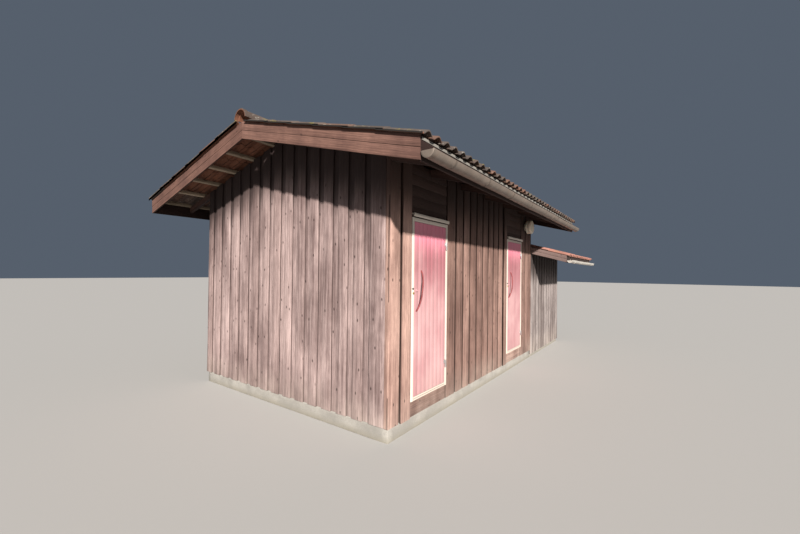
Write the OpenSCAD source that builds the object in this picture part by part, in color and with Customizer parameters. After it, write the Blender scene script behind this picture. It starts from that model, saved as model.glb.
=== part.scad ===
// Small board-clad lakeside outbuilding with two doors and a lower annex.
// X runs along the ridge towards the annex, Y from the door side to the back, Z up.
// The origin is the middle of the main foundation's underside.

/* [Main building] */
// Length of the main building along the ridge
main_l = 4800; // [4000:50:6500]
// Width of the main building across the ridge
main_w = 3540; // [3000:20:4500]
// Thickness of every wall
wall_t = 100; // [75:5:150]
// Height of the main foundation
base_h = 150; // [80:5:300]
// How far the foundation lies inside the wall faces
base_inset = 15; // [5:5:40]

/* [Annex] */
// Length of the annex walls
annex_l = 2350; // [1500:50:3000]
// Height of the annex foundation
annex_base_h = 60; // [30:5:80]
// How much lower the annex roof lies than the main roof
annex_drop = 641; // [560:1:760]

/* [Roof] */
// Pitch of every slope in degrees
roof_pitch = 15.1; // [12:0.1:20]
// Height of the bargeboard's lower edge at the eaves
eave_z = 2587; // [2500:1:2900]
// Overhang of the eaves beyond the long walls
eave_over = 688; // [500:4:800]
// Overhang of the main roof beyond its gables
gable_over = 540; // [300:10:700]
// Overhang of the annex roof beyond its end wall
annex_over = 400; // [250:10:600]
// Upright height of the main bargeboards
barge_h = 200; // [160:2:240]
// Upright height of the annex bargeboards
annex_barge_h = 134; // [120:2:180]
// Thickness of bargeboards and fascias
trim_t = 25; // [18:1:32]
// Height of the main fascias
fascia_h = 186; // [140:2:190]
// Height of the annex fascias
annex_fascia_h = 120; // [90:2:125]
// Thickness of a rafter seen from below
rafter_t = 48; // [36:2:60]
// Upright depth of a main rafter
rafter_h = 90; // [70:2:110]
// Upright depth of an annex rafter
annex_rafter_h = 62; // [40:2:70]
// Number of full rafter pairs in the main roof
rafter_n = 5; // [3:1:7]
// Number of full rafter pairs in the annex roof
annex_rafter_n = 3; // [2:1:4]
// Side of a square roof batten
batten = 46; // [30:1:50]
// Number of battens on each slope, one to each course of tiles
batten_n = 6; // [5:1:8]
// Distance of the top batten from the ridge, level
batten_top = 160; // [100:5:320]

/* [Tiles] */
// Width of one wave of the tiles, before it is rounded to fit the roof
wave_w = 152; // [140:1:240]
// Height of the wave from trough to crest
wave_h = 38; // [20:1:50]
// Thickness of the tiles
tile_t = 14; // [10:1:18]
// How far the tiles reach past the bargeboards
verge_over = 30; // [10:5:50]
// How far the tiles reach past the fascias
drip_over = 40; // [40:5:80]
// Outer radius of the ridge tiles
ridge_r = 113; // [100:1:130]

/* [Doors] */
// Outer width of a door frame
frame_w = 790; // [700:10:1000]
// Outer height of a door frame
frame_h = 1990; // [1890:10:2090]
// Height of the frame's underside above the ground
frame_z = 326; // [300:1:400]
// Width of a frame member seen from the front
jamb = 40; // [34:1:60]
// How far the frame stands out from the wall face
frame_proud = 20; // [12:1:30]
// Thickness of a door leaf
leaf_t = 44; // [36:1:54]
// Gap around a door leaf
leaf_gap = 5; // [5:0.5:7]
// Distance from the near corner to the first door frame
door_1_at = 373; // [250:1:600]
// Distance from the near corner to the second door frame
door_2_at = 3332; // [2800:1:3600]
// Length of a door's bow handle
handle_l = 420; // [300:10:500]
// Distance of the handle's outer edge from the leaf
handle_rise = 62; // [50:1:80]
// Thickness of the handle
handle_d = 26; // [20:1:32]
// Lean of the handle in degrees
handle_lean = 12; // [0:1:20]

/* [Gutters] */
// Outer radius of the main gutter
gutter_r = 60; // [50:1:75]
// Outer radius of the annex gutter
annex_gutter_r = 50; // [40:1:60]
// Thickness of the gutter metal
gutter_t = 3; // [2:0.5:4]
// Distance of the main gutter's rim below the tiles
gutter_below = 135; // [110:1:150]
// Distance of the annex gutter's rim below its tiles
annex_gutter_below = 97; // [80:1:110]
// Number of brackets on the main gutter
bracket_n = 8; // [4:1:10]
// Number of brackets on the annex gutter
annex_bracket_n = 4; // [3:1:5]

/* [Lamp] */
// Radius of the wall lamp
lamp_r = 132; // [90:2:140]
// How far the lamp stands out from the wall
lamp_depth = 150; // [80:5:180]
// Distance of the lamp's middle from the near corner
lamp_at = 4400; // [4260:5:4560]
// Height of the lamp's middle above the ground
lamp_z = 2630; // [2550:5:2640]

/* [Hidden] */
$fn = 48;

board_brown = [0.31, 0.21, 0.19];
annex_brown = [0.40, 0.34, 0.32];
trim_brown = [0.45, 0.29, 0.25];
door_rose = [0.72, 0.42, 0.46];
frame_cream = [0.85, 0.80, 0.74];
timber = [0.55, 0.47, 0.38];
tile_red = [0.45, 0.33, 0.28];
annex_tile_red = [0.62, 0.34, 0.28];
zinc = [0.60, 0.57, 0.54];
steel = [0.70, 0.70, 0.70];
concrete = [0.68, 0.65, 0.60];
branch_brown = [0.36, 0.18, 0.15];

half_l = main_l / 2;
half_w = main_w / 2;
annex_end = half_l + annex_l;
tan_p = tan(roof_pitch);
eave_y = half_w + eave_over;
apex_z = eave_z + eave_y * tan_p;
batten_up = batten / cos(roof_pitch);
door_x = [door_1_at - half_l, door_2_at - half_l];
frame_top = frame_z + frame_h;
frame_y = half_w + frame_proud;
inner_w = main_w - 2 * wall_t;
inner_l = main_l - 2 * wall_t;
far = 10000;

// Clearance where one roof piece rests on or meets another
seat = 0.3;

// Clearance between a fascia and the gutter in front of it
rim_gap = 8;

// Drip board over a door
drip_gap = 17;
drip_h = 28;
drip_out = 45;

// Door leaf and the stop that it closes against
stop = 14;
leaf_w = frame_w - 2 * jamb - 2 * leaf_gap;
leaf_h = frame_h - 2 * jamb - 2 * leaf_gap;
leaf_z = frame_z + jamb + leaf_gap;
leaf_y = frame_y - 2;

// Lift-off hinges
barrel_r = 8;
pin_r = 4;
pin_clear = 0.1;
barrel_l = 45;
barrel_gap = 1;
pin_l = 38;
plate_w = 30;
plate_t = 2;
hinge_in = 272;
hinge_z = [frame_z + hinge_in, frame_top - hinge_in];
pin_y = frame_y + barrel_r + plate_t;

// Handle and lock on a leaf
handle_x = 137;
handle_z = frame_z + 1189;
lock_x = 42;
lock_z = frame_z + 1194;
lock_r = 16;
lock_h = 14;
key_r = 6;
key_h = 5;

// Floor
joist_t = 48;
deck_t = 28;
joist_n = 7;

// Levels of the roof's layers above the bargeboard's lower edge, measured upright
main_layers = [apex_z, barge_h - batten_up - rafter_h, barge_h - batten_up, barge_h];
annex_layers = [apex_z - annex_drop, annex_barge_h - batten_up - annex_rafter_h,
                annex_barge_h - batten_up, annex_barge_h];

function main_rafter_x() = [for (i = [1 : rafter_n]) -half_l + main_l * i / (rafter_n + 1)];
function annex_rafter_x() = [for (i = [1 : annex_rafter_n]) half_l + annex_l * i / (annex_rafter_n + 1)];

// Height of a roof layer at distance y from the ridge
function layer_z(layers, i, y) = layers[0] + (i == 0 ? 0 : layers[i]) - abs(y) * tan_p;

// Extrudes a Y-Z outline along X from x0 to x1
module along_x(x0, x1) {
    translate([x0, 0, 0]) rotate([90, 0, 90]) linear_extrude(height = x1 - x0) children();
}

// Puts local X along the ridge, local Y square to the front slope and local Z down the slope
module on_front_slope(z) {
    translate([0, 0, z]) rotate([90 + roof_pitch, 0, 0]) children();
}

module both_sides() {
    children();
    mirror([0, 1, 0]) children();
}

// Walls

// A long wall between x0 and x1 from z0 up to layer i, on the door side
module long_wall(x0, x1, z0, layers) {
    along_x(x0, x1) polygon([
        [-half_w, z0], [-half_w + wall_t, z0],
        [-half_w + wall_t, layer_z(layers, 2, half_w - wall_t)], [-half_w, layer_z(layers, 2, half_w)]
    ]);
}

// The room that rafters at the places xs take out of a wall
module rafter_notches(xs, layers) {
    for (x = xs) rafter_sides(x - rafter_t / 2, 0, 2 * half_w, layers);
}

module gable_wall(x0, z0, layers) {
    along_x(x0, x0 + wall_t) polygon([
        [-half_w, z0], [half_w, z0], [half_w, layer_z(layers, 2, half_w)],
        [0, layer_z(layers, 2, 0)], [-half_w, layer_z(layers, 2, half_w)]
    ]);
}

module main_front_wall(x0, x1, z0) {
    difference() {
        long_wall(x0, x1, z0, main_layers);
        rafter_notches(main_rafter_x(), main_layers);
    }
}

module front_wall_left() color(board_brown) main_front_wall(-half_l + wall_t, door_x[0], base_h);
module front_wall_middle() color(board_brown) main_front_wall(door_x[0] + frame_w, door_x[1], base_h);
module front_wall_right() color(board_brown) main_front_wall(door_x[1] + frame_w, half_l - wall_t, base_h);
module back_wall() color(board_brown) mirror([0, 1, 0])
    main_front_wall(-half_l + wall_t, half_l - wall_t, base_h);
module near_gable_wall() color(board_brown) gable_wall(-half_l, base_h, main_layers);
module far_gable_wall() color(board_brown) gable_wall(half_l - wall_t, base_h, main_layers);

module door_head_panels() color(board_brown)
    for (x = door_x) main_front_wall(x, x + frame_w, frame_top);

module door_sill_panels() color(board_brown)
    for (x = door_x) translate([x, -half_w, base_h]) cube([frame_w, wall_t, frame_z - base_h]);

module door_drip_boards() color(frame_cream)
    for (x = door_x) translate([x, -half_w - drip_out, frame_top + drip_gap])
        cube([frame_w, drip_out, drip_h]);

// Foundations and floor

module foundation() color(concrete)
    translate([-half_l + base_inset, -half_w + base_inset, 0])
        cube([main_l - 2 * base_inset, main_w - 2 * base_inset, base_h]);

module annex_foundation() color(concrete)
    translate([half_l - base_inset, -half_w + base_inset, 0])
        cube([annex_l, main_w - 2 * base_inset, annex_base_h]);

module floor() color(timber) {
    translate([-inner_l / 2, -inner_w / 2, frame_z - deck_t]) cube([inner_l, inner_w, deck_t]);
    for (i = [0 : joist_n - 1])
        translate([-inner_l / 2 + (inner_l - joist_t) * i / (joist_n - 1), -inner_w / 2, base_h])
            cube([joist_t, inner_w, frame_z - deck_t - base_h]);
}

// Doors

module door_frame(x) color(frame_cream) difference() {
    translate([x, -frame_y, frame_z]) cube([frame_w, frame_proud + wall_t, frame_h]);
    translate([x + jamb, -frame_y - 1, frame_z + jamb])
        cube([frame_w - 2 * jamb, frame_y - leaf_y + leaf_t + leaf_gap + 1, frame_h - 2 * jamb]);
    translate([x + jamb + stop, -frame_y - 1, frame_z + jamb])
        cube([frame_w - 2 * jamb - 2 * stop, far, frame_h - 2 * jamb - stop]);
}

module door_leaf(x) color(door_rose)
    translate([x + jamb + leaf_gap, -leaf_y, leaf_z]) cube([leaf_w, leaf_t, leaf_h]);

// A bow: part of a ring whose ends run into the leaf's face
module door_handle(x) {
    bow = handle_rise - handle_d / 2;
    ring_r = handle_l * handle_l / (8 * bow) + bow / 2;
    half_turn = asin(handle_l / 2 / ring_r) + 4;
    color(branch_brown) intersection() {
        translate([x + handle_x, -leaf_y + ring_r - bow, handle_z]) rotate([0, handle_lean, 0])
            rotate([0, 90, 0]) rotate([0, 0, -90 - half_turn])
                rotate_extrude(angle = 2 * half_turn, $fn = 240)
                    translate([ring_r, 0]) circle(d = handle_d, $fn = 48);
        translate([x - frame_w, -leaf_y - far, handle_z - handle_l])
            cube([3 * frame_w, far, 2 * handle_l]);
    }
}

// Fixed half of each hinge: a plate on the frame, the lower barrel and the pin
module door_hinges(x) {
    pin_x = x + frame_w - jamb - leaf_gap / 2;
    color(steel) for (z = hinge_z) {
        translate([pin_x, -pin_y, z - barrel_l]) cylinder(r = barrel_r, h = barrel_l);
        translate([pin_x, -pin_y, z - barrel_l]) cylinder(r = pin_r, h = barrel_l + barrel_gap + pin_l);
        translate([pin_x, -frame_y - plate_t, z - barrel_l]) cube([plate_w, plate_t, barrel_l]);
        translate([pin_x, -pin_y, z - barrel_l]) cube([barrel_r, pin_y - frame_y, barrel_l]);
    }
}

// Moving half of each hinge: the upper barrel and its plate on the leaf
module door_hinge_sleeves(x) {
    pin_x = x + frame_w - jamb - leaf_gap / 2;
    color(steel) for (z = hinge_z) difference() {
        union() {
            translate([pin_x, -pin_y, z + barrel_gap]) cylinder(r = barrel_r, h = barrel_l);
            translate([pin_x - plate_w, -leaf_y - plate_t, z + barrel_gap])
                cube([plate_w, plate_t, barrel_l]);
            translate([pin_x - barrel_r, -pin_y, z + barrel_gap])
                cube([barrel_r, pin_y - leaf_y, barrel_l]);
        }
        translate([pin_x, -pin_y, z]) cylinder(r = pin_r + pin_clear, h = pin_l + 2 * barrel_gap);
    }
}

module door_lock(x) color(steel)
    translate([x + jamb + leaf_gap + lock_x, -leaf_y, lock_z]) rotate([90, 0, 0]) {
        cylinder(r = lock_r, h = lock_h);
        cylinder(r = key_r, h = lock_h + key_h);
    }

// Roof frame

// Rafter on each side of the ridge, from distance y0 to y1
module rafter_sides(x0, y0, y1, layers) {
    both_sides() along_x(x0, x0 + rafter_t) polygon([
        [y0, layer_z(layers, 1, y0)], [y1, layer_z(layers, 1, y1)],
        [y1, layer_z(layers, 2, y1)], [y0, layer_z(layers, 2, y0)]
    ]);
}

// Pairs of rafters whose plumb cuts meet at the ridge
module rafter_pairs(xs, layers) {
    for (x = xs) rafter_sides(x - rafter_t / 2, seat / 2, eave_y - trim_t, layers);
}

// Rafter ends beside a gable wall, from the wall's corner out to the fascia
module rafter_tail(x0, layers) {
    rafter_sides(x0, half_w, eave_y - trim_t, layers);
}

module rafters() color(timber) {
    rafter_pairs(main_rafter_x(), main_layers);
    rafter_tail(-half_l, main_layers);
    rafter_tail(half_l - rafter_t, main_layers);
}

module annex_rafters() color(timber) {
    rafter_pairs(annex_rafter_x(), annex_layers);
    rafter_tail(annex_end - rafter_t, annex_layers);
}

// Battens on both slopes, from x0 or, beyond the long walls, from eave_x0. The last lies by the fascia.
module battens(x0, eave_x0, x1, layers) {
    run = batten * cos(roof_pitch);
    last = eave_y - trim_t - seat - run - batten * sin(roof_pitch);
    for (i = [0 : batten_n - 1]) {
        y = batten_top + (last - batten_top) * i / (batten_n - 1);
        from = y + run + batten * sin(roof_pitch) > half_w ? eave_x0 : x0;
        both_sides() along_x(from, x1) translate([y, layer_z(layers, 2, y) + seat])
            rotate(-roof_pitch) square(batten);
    }
}

module roof_battens() color(timber) {
    inner = half_l + gable_over - trim_t;
    battens(-inner, -inner, inner, main_layers);
}

module annex_roof_battens() color(timber)
    battens(half_l, half_l + trim_t, annex_end + annex_over - trim_t, annex_layers);

// Board along a verge from distance y0 to y1 on one side of the ridge
module verge_board(x0, y0, y1, layers) {
    along_x(x0, x0 + trim_t) polygon([
        [y0, layer_z(layers, 0, y0)], [y1, layer_z(layers, 0, y1)],
        [y1, layer_z(layers, 3, y1)], [y0, layer_z(layers, 3, y0)]
    ]);
}

module near_bargeboards() color(trim_brown)
    both_sides() verge_board(-half_l - gable_over, seat / 2, eave_y, main_layers);

module far_bargeboards() color(trim_brown)
    both_sides() verge_board(half_l + gable_over - trim_t, seat / 2, eave_y, main_layers);

module annex_bargeboards() color(trim_brown) both_sides() {
    verge_board(annex_end + annex_over - trim_t, seat / 2, eave_y, annex_layers);
    verge_board(half_l, half_w, eave_y, annex_layers);
}

module fascia_pair(x0, x1, h, drop) {
    both_sides() translate([x0, -eave_y, eave_z - drop]) cube([x1 - x0, trim_t, h]);
}

module fascias() color(trim_brown)
    fascia_pair(-half_l - gable_over + trim_t, half_l + gable_over - trim_t, fascia_h, 0);

module annex_fascias() color(trim_brown)
    fascia_pair(half_l + trim_t, annex_end + annex_over - trim_t, annex_fascia_h, annex_drop);

// Tiles

// Outline of one wave at x: flat trough, rising side, flat crest, falling side
function wave_top(x, w) = [
    [x + 0.18 * w, 0], [x + 0.28 * w, 0.22 * wave_h], [x + 0.38 * w, 0.72 * wave_h],
    [x + 0.50 * w, wave_h], [x + 0.66 * w, wave_h], [x + 0.78 * w, 0.72 * wave_h],
    [x + 0.88 * w, 0.22 * wave_h], [x + w, 0]
];

// Height of the tiles' underside above the bargeboard's lower edge, measured upright
function tile_seat(layers) = layers[3] + 2 * seat;

// Sheet of tiles from x0 to x1 on the front slope
module tile_sheet(x0, x1, layers) {
    n = round((x1 - x0) / wave_w);
    w = (x1 - x0) / n;
    lower = concat([[x0, 0]], [for (i = [0 : n - 1]) each wave_top(x0 + i * w, w)]);
    upper = [for (i = [len(lower) - 1 : -1 : 0]) lower[i] + [0, tile_t]];
    lift = tile_seat(layers) * cos(roof_pitch);
    top = ridge_r / 4;
    length = (eave_y + drip_over) / cos(roof_pitch) - lift * tan_p - top;
    on_front_slope(layers[0]) translate([0, lift, top])
        linear_extrude(height = length) polygon(concat(lower, upper));
}

module roof_tiles_front() color(tile_red)
    tile_sheet(-half_l - gable_over - verge_over, half_l + gable_over + verge_over, main_layers);
module roof_tiles_back() color(tile_red) mirror([0, 1, 0])
    tile_sheet(-half_l - gable_over - verge_over, half_l + gable_over + verge_over, main_layers);
module annex_roof_tiles() color(annex_tile_red) both_sides()
    tile_sheet(half_l, annex_end + annex_over + verge_over, annex_layers);

// Half-round capping that rests on the crests of both slopes
module ridge_cap(x0, x1, layers) {
    crest = layers[0] + tile_seat(layers) + (wave_h + tile_t) / cos(roof_pitch) + seat;
    along_x(x0, x1) difference() {
        translate([0, crest - ridge_r * tan_p]) difference() {
            circle(r = ridge_r);
            circle(r = ridge_r - tile_t);
        }
        polygon([[0, crest], [far, crest - far * tan_p], [far, -far], [-far, -far],
                 [-far, crest - far * tan_p]]);
    }
}

module ridge_tiles() color(tile_red)
    ridge_cap(-half_l - gable_over - verge_over, half_l + gable_over + verge_over, main_layers);
module annex_ridge_tiles() color(annex_tile_red)
    ridge_cap(half_l, annex_end + annex_over + verge_over, annex_layers);

// Gutters

// Half ring from radius r_in to r_out below the rim
module half_ring(r_in, r_out) {
    difference() {
        circle(r = r_out);
        circle(r = r_in);
        translate([-far / 2, 0]) square(far);
    }
}

module gutter_run(x0, x1, y, z, r) {
    along_x(x0, x1) translate([y, z]) half_ring(r - gutter_t, r);
    for (x = [x0, x1 - gutter_t]) along_x(x, x + gutter_t) translate([y, z]) half_ring(0, r);
}

// Strap under a gutter, with a leg up the fascia's face
module brackets(xs, y, z, r) {
    strap_w = 24;
    strap_t = 4;
    leg_up = 30;
    for (x = xs) along_x(x - strap_w / 2, x + strap_w / 2) {
        translate([y, z]) half_ring(r, r + strap_t);
        translate([y + r, z - leg_up]) square([-eave_y - y - r, 2 * leg_up]);
    }
}

main_rim = eave_z + barge_h - gutter_below;
annex_rim = eave_z - annex_drop + annex_barge_h - annex_gutter_below;
main_gutter_y = -eave_y - rim_gap - gutter_r;
annex_gutter_y = -eave_y - rim_gap - annex_gutter_r;
main_gutter_end = half_l + gable_over;
annex_gutter_end = annex_end + annex_over;

module gutter() color(zinc)
    gutter_run(-main_gutter_end, main_gutter_end, main_gutter_y, main_rim, gutter_r);

module gutter_brackets() color(zinc) {
    step = 2 * main_gutter_end / bracket_n;
    brackets([for (i = [0 : bracket_n - 1]) -main_gutter_end + step * (i + 0.5)],
             main_gutter_y, main_rim, gutter_r);
}

module annex_gutter() color(zinc) {
    run = annex_gutter_end - half_l;
    gutter_run(half_l, annex_gutter_end, annex_gutter_y, annex_rim, annex_gutter_r);
    brackets([for (i = [0 : annex_bracket_n - 1]) half_l + run * (i + 0.5) / annex_bracket_n],
             annex_gutter_y, annex_rim, annex_gutter_r);
}

// Lamp

module wall_lamp() {
    edge = 30;
    foot_r = 70;
    foot_h = 40;
    color(frame_cream) translate([lamp_at - half_l, -half_w, lamp_z]) rotate([90, 0, 0]) {
        cylinder(r = foot_r, h = foot_h);
        rotate_extrude() {
            translate([0, foot_h]) square([lamp_r, lamp_depth - foot_h - edge]);
            translate([0, foot_h]) square([lamp_r - edge, lamp_depth - foot_h]);
            translate([lamp_r - edge, lamp_depth - edge]) intersection() {
                circle(r = edge);
                square(edge);
            }
        }
    }
}

// Annex walls

module annex_long_wall() {
    difference() {
        long_wall(half_l, annex_end - wall_t, annex_base_h, annex_layers);
        rafter_notches(annex_rafter_x(), annex_layers);
    }
}

module annex_front_wall() color(annex_brown) annex_long_wall();
module annex_back_wall() color(annex_brown) mirror([0, 1, 0]) annex_long_wall();
module annex_end_wall() color(annex_brown) gable_wall(annex_end - wall_t, annex_base_h, annex_layers);

foundation();
floor();
near_gable_wall();
far_gable_wall();
back_wall();
front_wall_left();
front_wall_middle();
front_wall_right();
door_head_panels();
door_sill_panels();
door_drip_boards();
door_frame(door_x[0]);  // door_1_frame
door_leaf(door_x[0]);  // door_1_leaf
door_handle(door_x[0]);  // door_1_handle
door_hinges(door_x[0]);  // door_1_hinges
door_hinge_sleeves(door_x[0]);  // door_1_hinge_sleeves
door_lock(door_x[0]);  // door_1_lock
door_frame(door_x[1]);  // door_2_frame
door_leaf(door_x[1]);  // door_2_leaf
door_handle(door_x[1]);  // door_2_handle
door_hinges(door_x[1]);  // door_2_hinges
door_hinge_sleeves(door_x[1]);  // door_2_hinge_sleeves
door_lock(door_x[1]);  // door_2_lock
rafters();
roof_battens();
roof_tiles_front();
roof_tiles_back();
ridge_tiles();
near_bargeboards();
far_bargeboards();
fascias();
gutter();
gutter_brackets();
wall_lamp();
annex_foundation();
annex_front_wall();
annex_back_wall();
annex_end_wall();
annex_rafters();
annex_roof_battens();
annex_roof_tiles();
annex_ridge_tiles();
annex_bargeboards();
annex_fascias();
annex_gutter();
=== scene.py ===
"""Looks of the small board-clad boathouse: boards, tiles, doors, gutters, finishes, floor, light and camera.

Lengths are metres. X runs along the ridge to the annex, Y from the door side to the back, Z up.
"""
import math

import bpy
import numpy as np
from bpy.props import FloatProperty, FloatVectorProperty, IntProperty, PointerProperty
from mathutils import Matrix, Vector


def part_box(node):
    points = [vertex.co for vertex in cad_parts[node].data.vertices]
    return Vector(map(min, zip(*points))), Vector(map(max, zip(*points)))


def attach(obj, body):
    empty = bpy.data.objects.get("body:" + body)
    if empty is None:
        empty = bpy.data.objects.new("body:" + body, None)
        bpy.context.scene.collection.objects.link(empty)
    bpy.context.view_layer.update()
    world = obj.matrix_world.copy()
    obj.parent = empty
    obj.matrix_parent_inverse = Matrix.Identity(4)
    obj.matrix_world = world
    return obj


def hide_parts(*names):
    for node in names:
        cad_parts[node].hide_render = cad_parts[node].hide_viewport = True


bl_info = {
    "name": "Boathouse looks",
    "version": (1, 0, 0),
    "blender": (4, 5, 0),
    "location": "View3D > Sidebar > Boathouse",
    "description": "Builds the boards, tiles, doors and finishes of a small boathouse round its packed frame",
    "category": "Object",
}

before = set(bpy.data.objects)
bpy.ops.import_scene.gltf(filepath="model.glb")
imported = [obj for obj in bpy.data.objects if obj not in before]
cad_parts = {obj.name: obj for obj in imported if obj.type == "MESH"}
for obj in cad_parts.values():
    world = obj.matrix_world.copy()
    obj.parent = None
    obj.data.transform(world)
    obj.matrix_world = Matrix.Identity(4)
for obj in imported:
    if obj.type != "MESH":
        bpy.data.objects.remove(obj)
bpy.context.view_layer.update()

# Lowest and highest corner of each CAD node
BOX = {node: np.array(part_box(node), float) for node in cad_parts}

GABLE, BARGE, FASCIA = BOX["near_gable_wall"], BOX["near_bargeboards"], BOX["fascias"]
ANNEX_BARGE, DOORS = BOX["annex_bargeboards"], [BOX["door_1_frame"], BOX["door_2_frame"]]
HALF_L, HALF_W = -GABLE[0, 0], GABLE[1, 1]      # half the main building's length and width
WALL = GABLE[1, 0] - GABLE[0, 0]                # thickness of a wall
WALL_FOOT = GABLE[0, 2]
ANNEX_END = BOX["annex_end_wall"][1, 0]
EAVE_Y, EAVE_Z = -BARGE[0, 1], BARGE[0, 2]      # lower edge of the slope, out from the ridge and up
TRIM = BARGE[1, 0] - BARGE[0, 0]                # thickness of the bargeboards and fascias
PITCH = math.radians(15.1)
TAN, COS, SIN = math.tan(PITCH), math.cos(PITCH), math.sin(PITCH)
APEX = EAVE_Z + EAVE_Y * TAN
BATTEN = 0.046          # side of a batten
BATTEN_TOP = 0.16       # distance of the highest battens from the ridge
SEAT = 0.0003           # overlap of pieces that rest on each other
TILE_T = 0.014          # thickness of the tiles
RAFTER_T = 0.048        # thickness of a rafter
RAFTER, ANNEX_RAFTER = 0.09, 0.062      # upright heights of the rafters
BOARD_GAP = 0.001       # between the wall boards' heads and the battens


class Roof:
    """One roof's levels, upright above the lower edge of its bargeboards, and the foot of the walls under it."""

    def __init__(self, apex, board, rafter, foot):
        self.apex, self.board, self.foot = apex, board, foot
        self.rafter_top = board - BATTEN / COS
        self.rafter_foot = self.rafter_top - rafter
        self.tile = board + 2 * SEAT

    def z(self, level, y):
        """Height of a level at distance y from the ridge: apex + level - |y| tan(pitch)."""
        return self.apex + level - np.abs(y) * TAN

    def wall_top(self, y=HALF_W, gap=BOARD_GAP):
        """Height of the heads of the wall boards at distance y from the ridge."""
        return self.z(self.rafter_top, y) - gap


MAIN = Roof(APEX, BARGE[1, 2] - APEX, RAFTER, WALL_FOOT)
ANNEX_APEX = APEX - EAVE_Z + ANNEX_BARGE[0, 2]
ANNEX = Roof(ANNEX_APEX, ANNEX_BARGE[1, 2] - ANNEX_APEX, ANNEX_RAFTER, BOX["annex_front_wall"][0, 2])


# ---- Meshes ----

X, Y, Z = np.eye(3)
# Directions along, across and out of a board: upright or level, on the door side
UPRIGHT, LEVEL = (Z, X, -Y), (X, Z, -Y)
MIDDLE = np.array([0.5])    # tone of a single body
CAP_UV = 0.02               # depth that an end's map gets along the grain


def points(*coordinates):
    """Points from their coordinates, each one number or a row of them."""
    return np.stack(np.broadcast_arrays(*coordinates), -1)


def distances(line, closed=False):
    """Running sum of a line's steps, from 0. A closed line comes back to its first point."""
    line = np.concatenate([line, line[:1]]) if closed else line
    return np.concatenate([[0], np.cumsum(np.linalg.norm(np.diff(line, axis=0), axis=1))])[None]


class Piece:
    """Gathers closed lofted bodies and makes one object of them."""

    def __init__(self):
        self.verts, self.faces, self.uvs, self.tones, self.shelter_and_shade_values = [], [], [], [], []

    def loft(self, rings, run, girth, tone=MIDDLE, shelter=0.0):
        """Bodies whose outline (ring) is carried over stations.

        rings has the shape bodies x stations x ring points x 3. The first half of a ring is its outer line
        and the second half its inner line, backwards, so each end closes with quads between the two lines.
        A face's UV is (run at its station, girth at its ring point). A body whose signed volume,
        the sum of a . (b x c) / 6 over its triangles, is negative has its faces turned.
        """
        n, s, r, _ = rings.shape
        half = r // 2
        index = np.arange(n * s * r).reshape(n, s, r)
        nxt = np.roll(index, -1, axis=2)
        sides = np.stack([index[:, :-1], nxt[:, :-1], nxt[:, 1:], index[:, 1:]], -1).reshape(n, -1, 4)
        k = np.arange(half - 1)
        foot = index[:, 0][:, np.stack([k + 1, k, r - 1 - k, r - 2 - k], -1)]
        head = index[:, -1][:, np.stack([k, k + 1, r - 2 - k, r - 1 - k], -1)]
        faces = np.concatenate([sides, foot, head], 1)

        def cap(u, steps):
            return np.stack([points(u + add, girth[:, i:half - 1 + i])
                             for i, add in zip(steps, (0, 0, CAP_UV, CAP_UV))], 2)

        u0, u1 = run[:, :-1, None], run[:, 1:, None]
        v0, v1 = girth[:, None, :-1], girth[:, None, 1:]
        side_uv = np.stack([points(u0, v0), points(u0, v1), points(u1, v1), points(u1, v0)], 3).reshape(n, -1, 4, 2)
        uv = np.concatenate([side_uv, cap(run[:, :1], (1, 0, 0, 1)), cap(run[:, -1:], (0, 1, 1, 0))], 1)
        corners = rings.reshape(-1, 3)
        a, b, c, d = np.moveaxis(corners[faces], 2, 0)
        turned = np.einsum("nfi,nfi->n", a, np.cross(b, c) + np.cross(c, d)) < 0
        faces[turned] = faces[turned][:, :, ::-1]
        uv[turned] = uv[turned][:, :, ::-1]

        self.faces.append(faces.reshape(-1, 4) + sum(map(len, self.verts)))
        self.verts.append(corners)
        self.uvs.append(uv.reshape(-1, 2))
        self.tones.append(np.broadcast_to(tone[:, None, None], (n, s, r)).ravel())
        self.shelter_and_shade_values.append(np.broadcast_to(shelter, (n, s, r)).ravel())

    def build(self, name, look, slot, replaces=(), body="building", sharp=35.0):
        """Makes the object at the origin, gives it its finish and lets it ride on its body."""
        mesh = bpy.data.meshes.new(name)
        mesh.from_pydata(np.concatenate(self.verts), [], np.concatenate(self.faces), shade_flat=False)
        uv = mesh.uv_layers.new(name="grain")
        uv.data.foreach_set("uv", np.concatenate(self.uvs).astype(np.float32).ravel())
        # The shelter attribute carries painted shade as well as real shelter from the weather
        for label, values in (("tone", self.tones), ("shelter", self.shelter_and_shade_values)):
            layer = mesh.attributes.new(label, "FLOAT", "POINT")
            layer.data.foreach_set("value", np.concatenate(values).astype(np.float32))
        if mesh.validate():
            raise RuntimeError(f"{name} has broken faces")
        mesh.set_sharp_from_angle(angle=math.radians(sharp))
        mesh.materials.append(finish(look))
        obj = bpy.data.objects.new(name, mesh)
        bpy.context.scene.collection.objects.link(obj)
        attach(obj, body)
        if replaces:
            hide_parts(*replaces)


# For each outline point: share of the half width, of the edge radius, of the depth and of the edge radius
BOARD_OUTLINE = np.array([
    (-1, 0, 0, -1), (-1, .3, 0, -.3), (-1, 1, 0, 0), (0, 0, 0, 0), (1, -1, 0, 0), (1, -.3, 0, -.3), (1, 0, 0, -1),
    (1, 0, -1, 1), (1, -.3, -1, .3), (1, -1, -1, 0), (0, 0, -1, 0), (-1, 1, -1, 0), (-1, .3, -1, .3), (-1, 0, -1, 1)])
# Painted shade at each outline point: the sides and back of a board are darkened, the side towards +across more than
# the other, so a thin shadow line shows beside each cover board
BOARD_SIDE_SHADE = np.array([.30, .15, 0, 0, 0, .6, 1, 1, 1, 1, 1, 1, .8, .55])
GRAIN_SPAN = 40     # each board's grain starts somewhere in a map of this length


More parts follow.
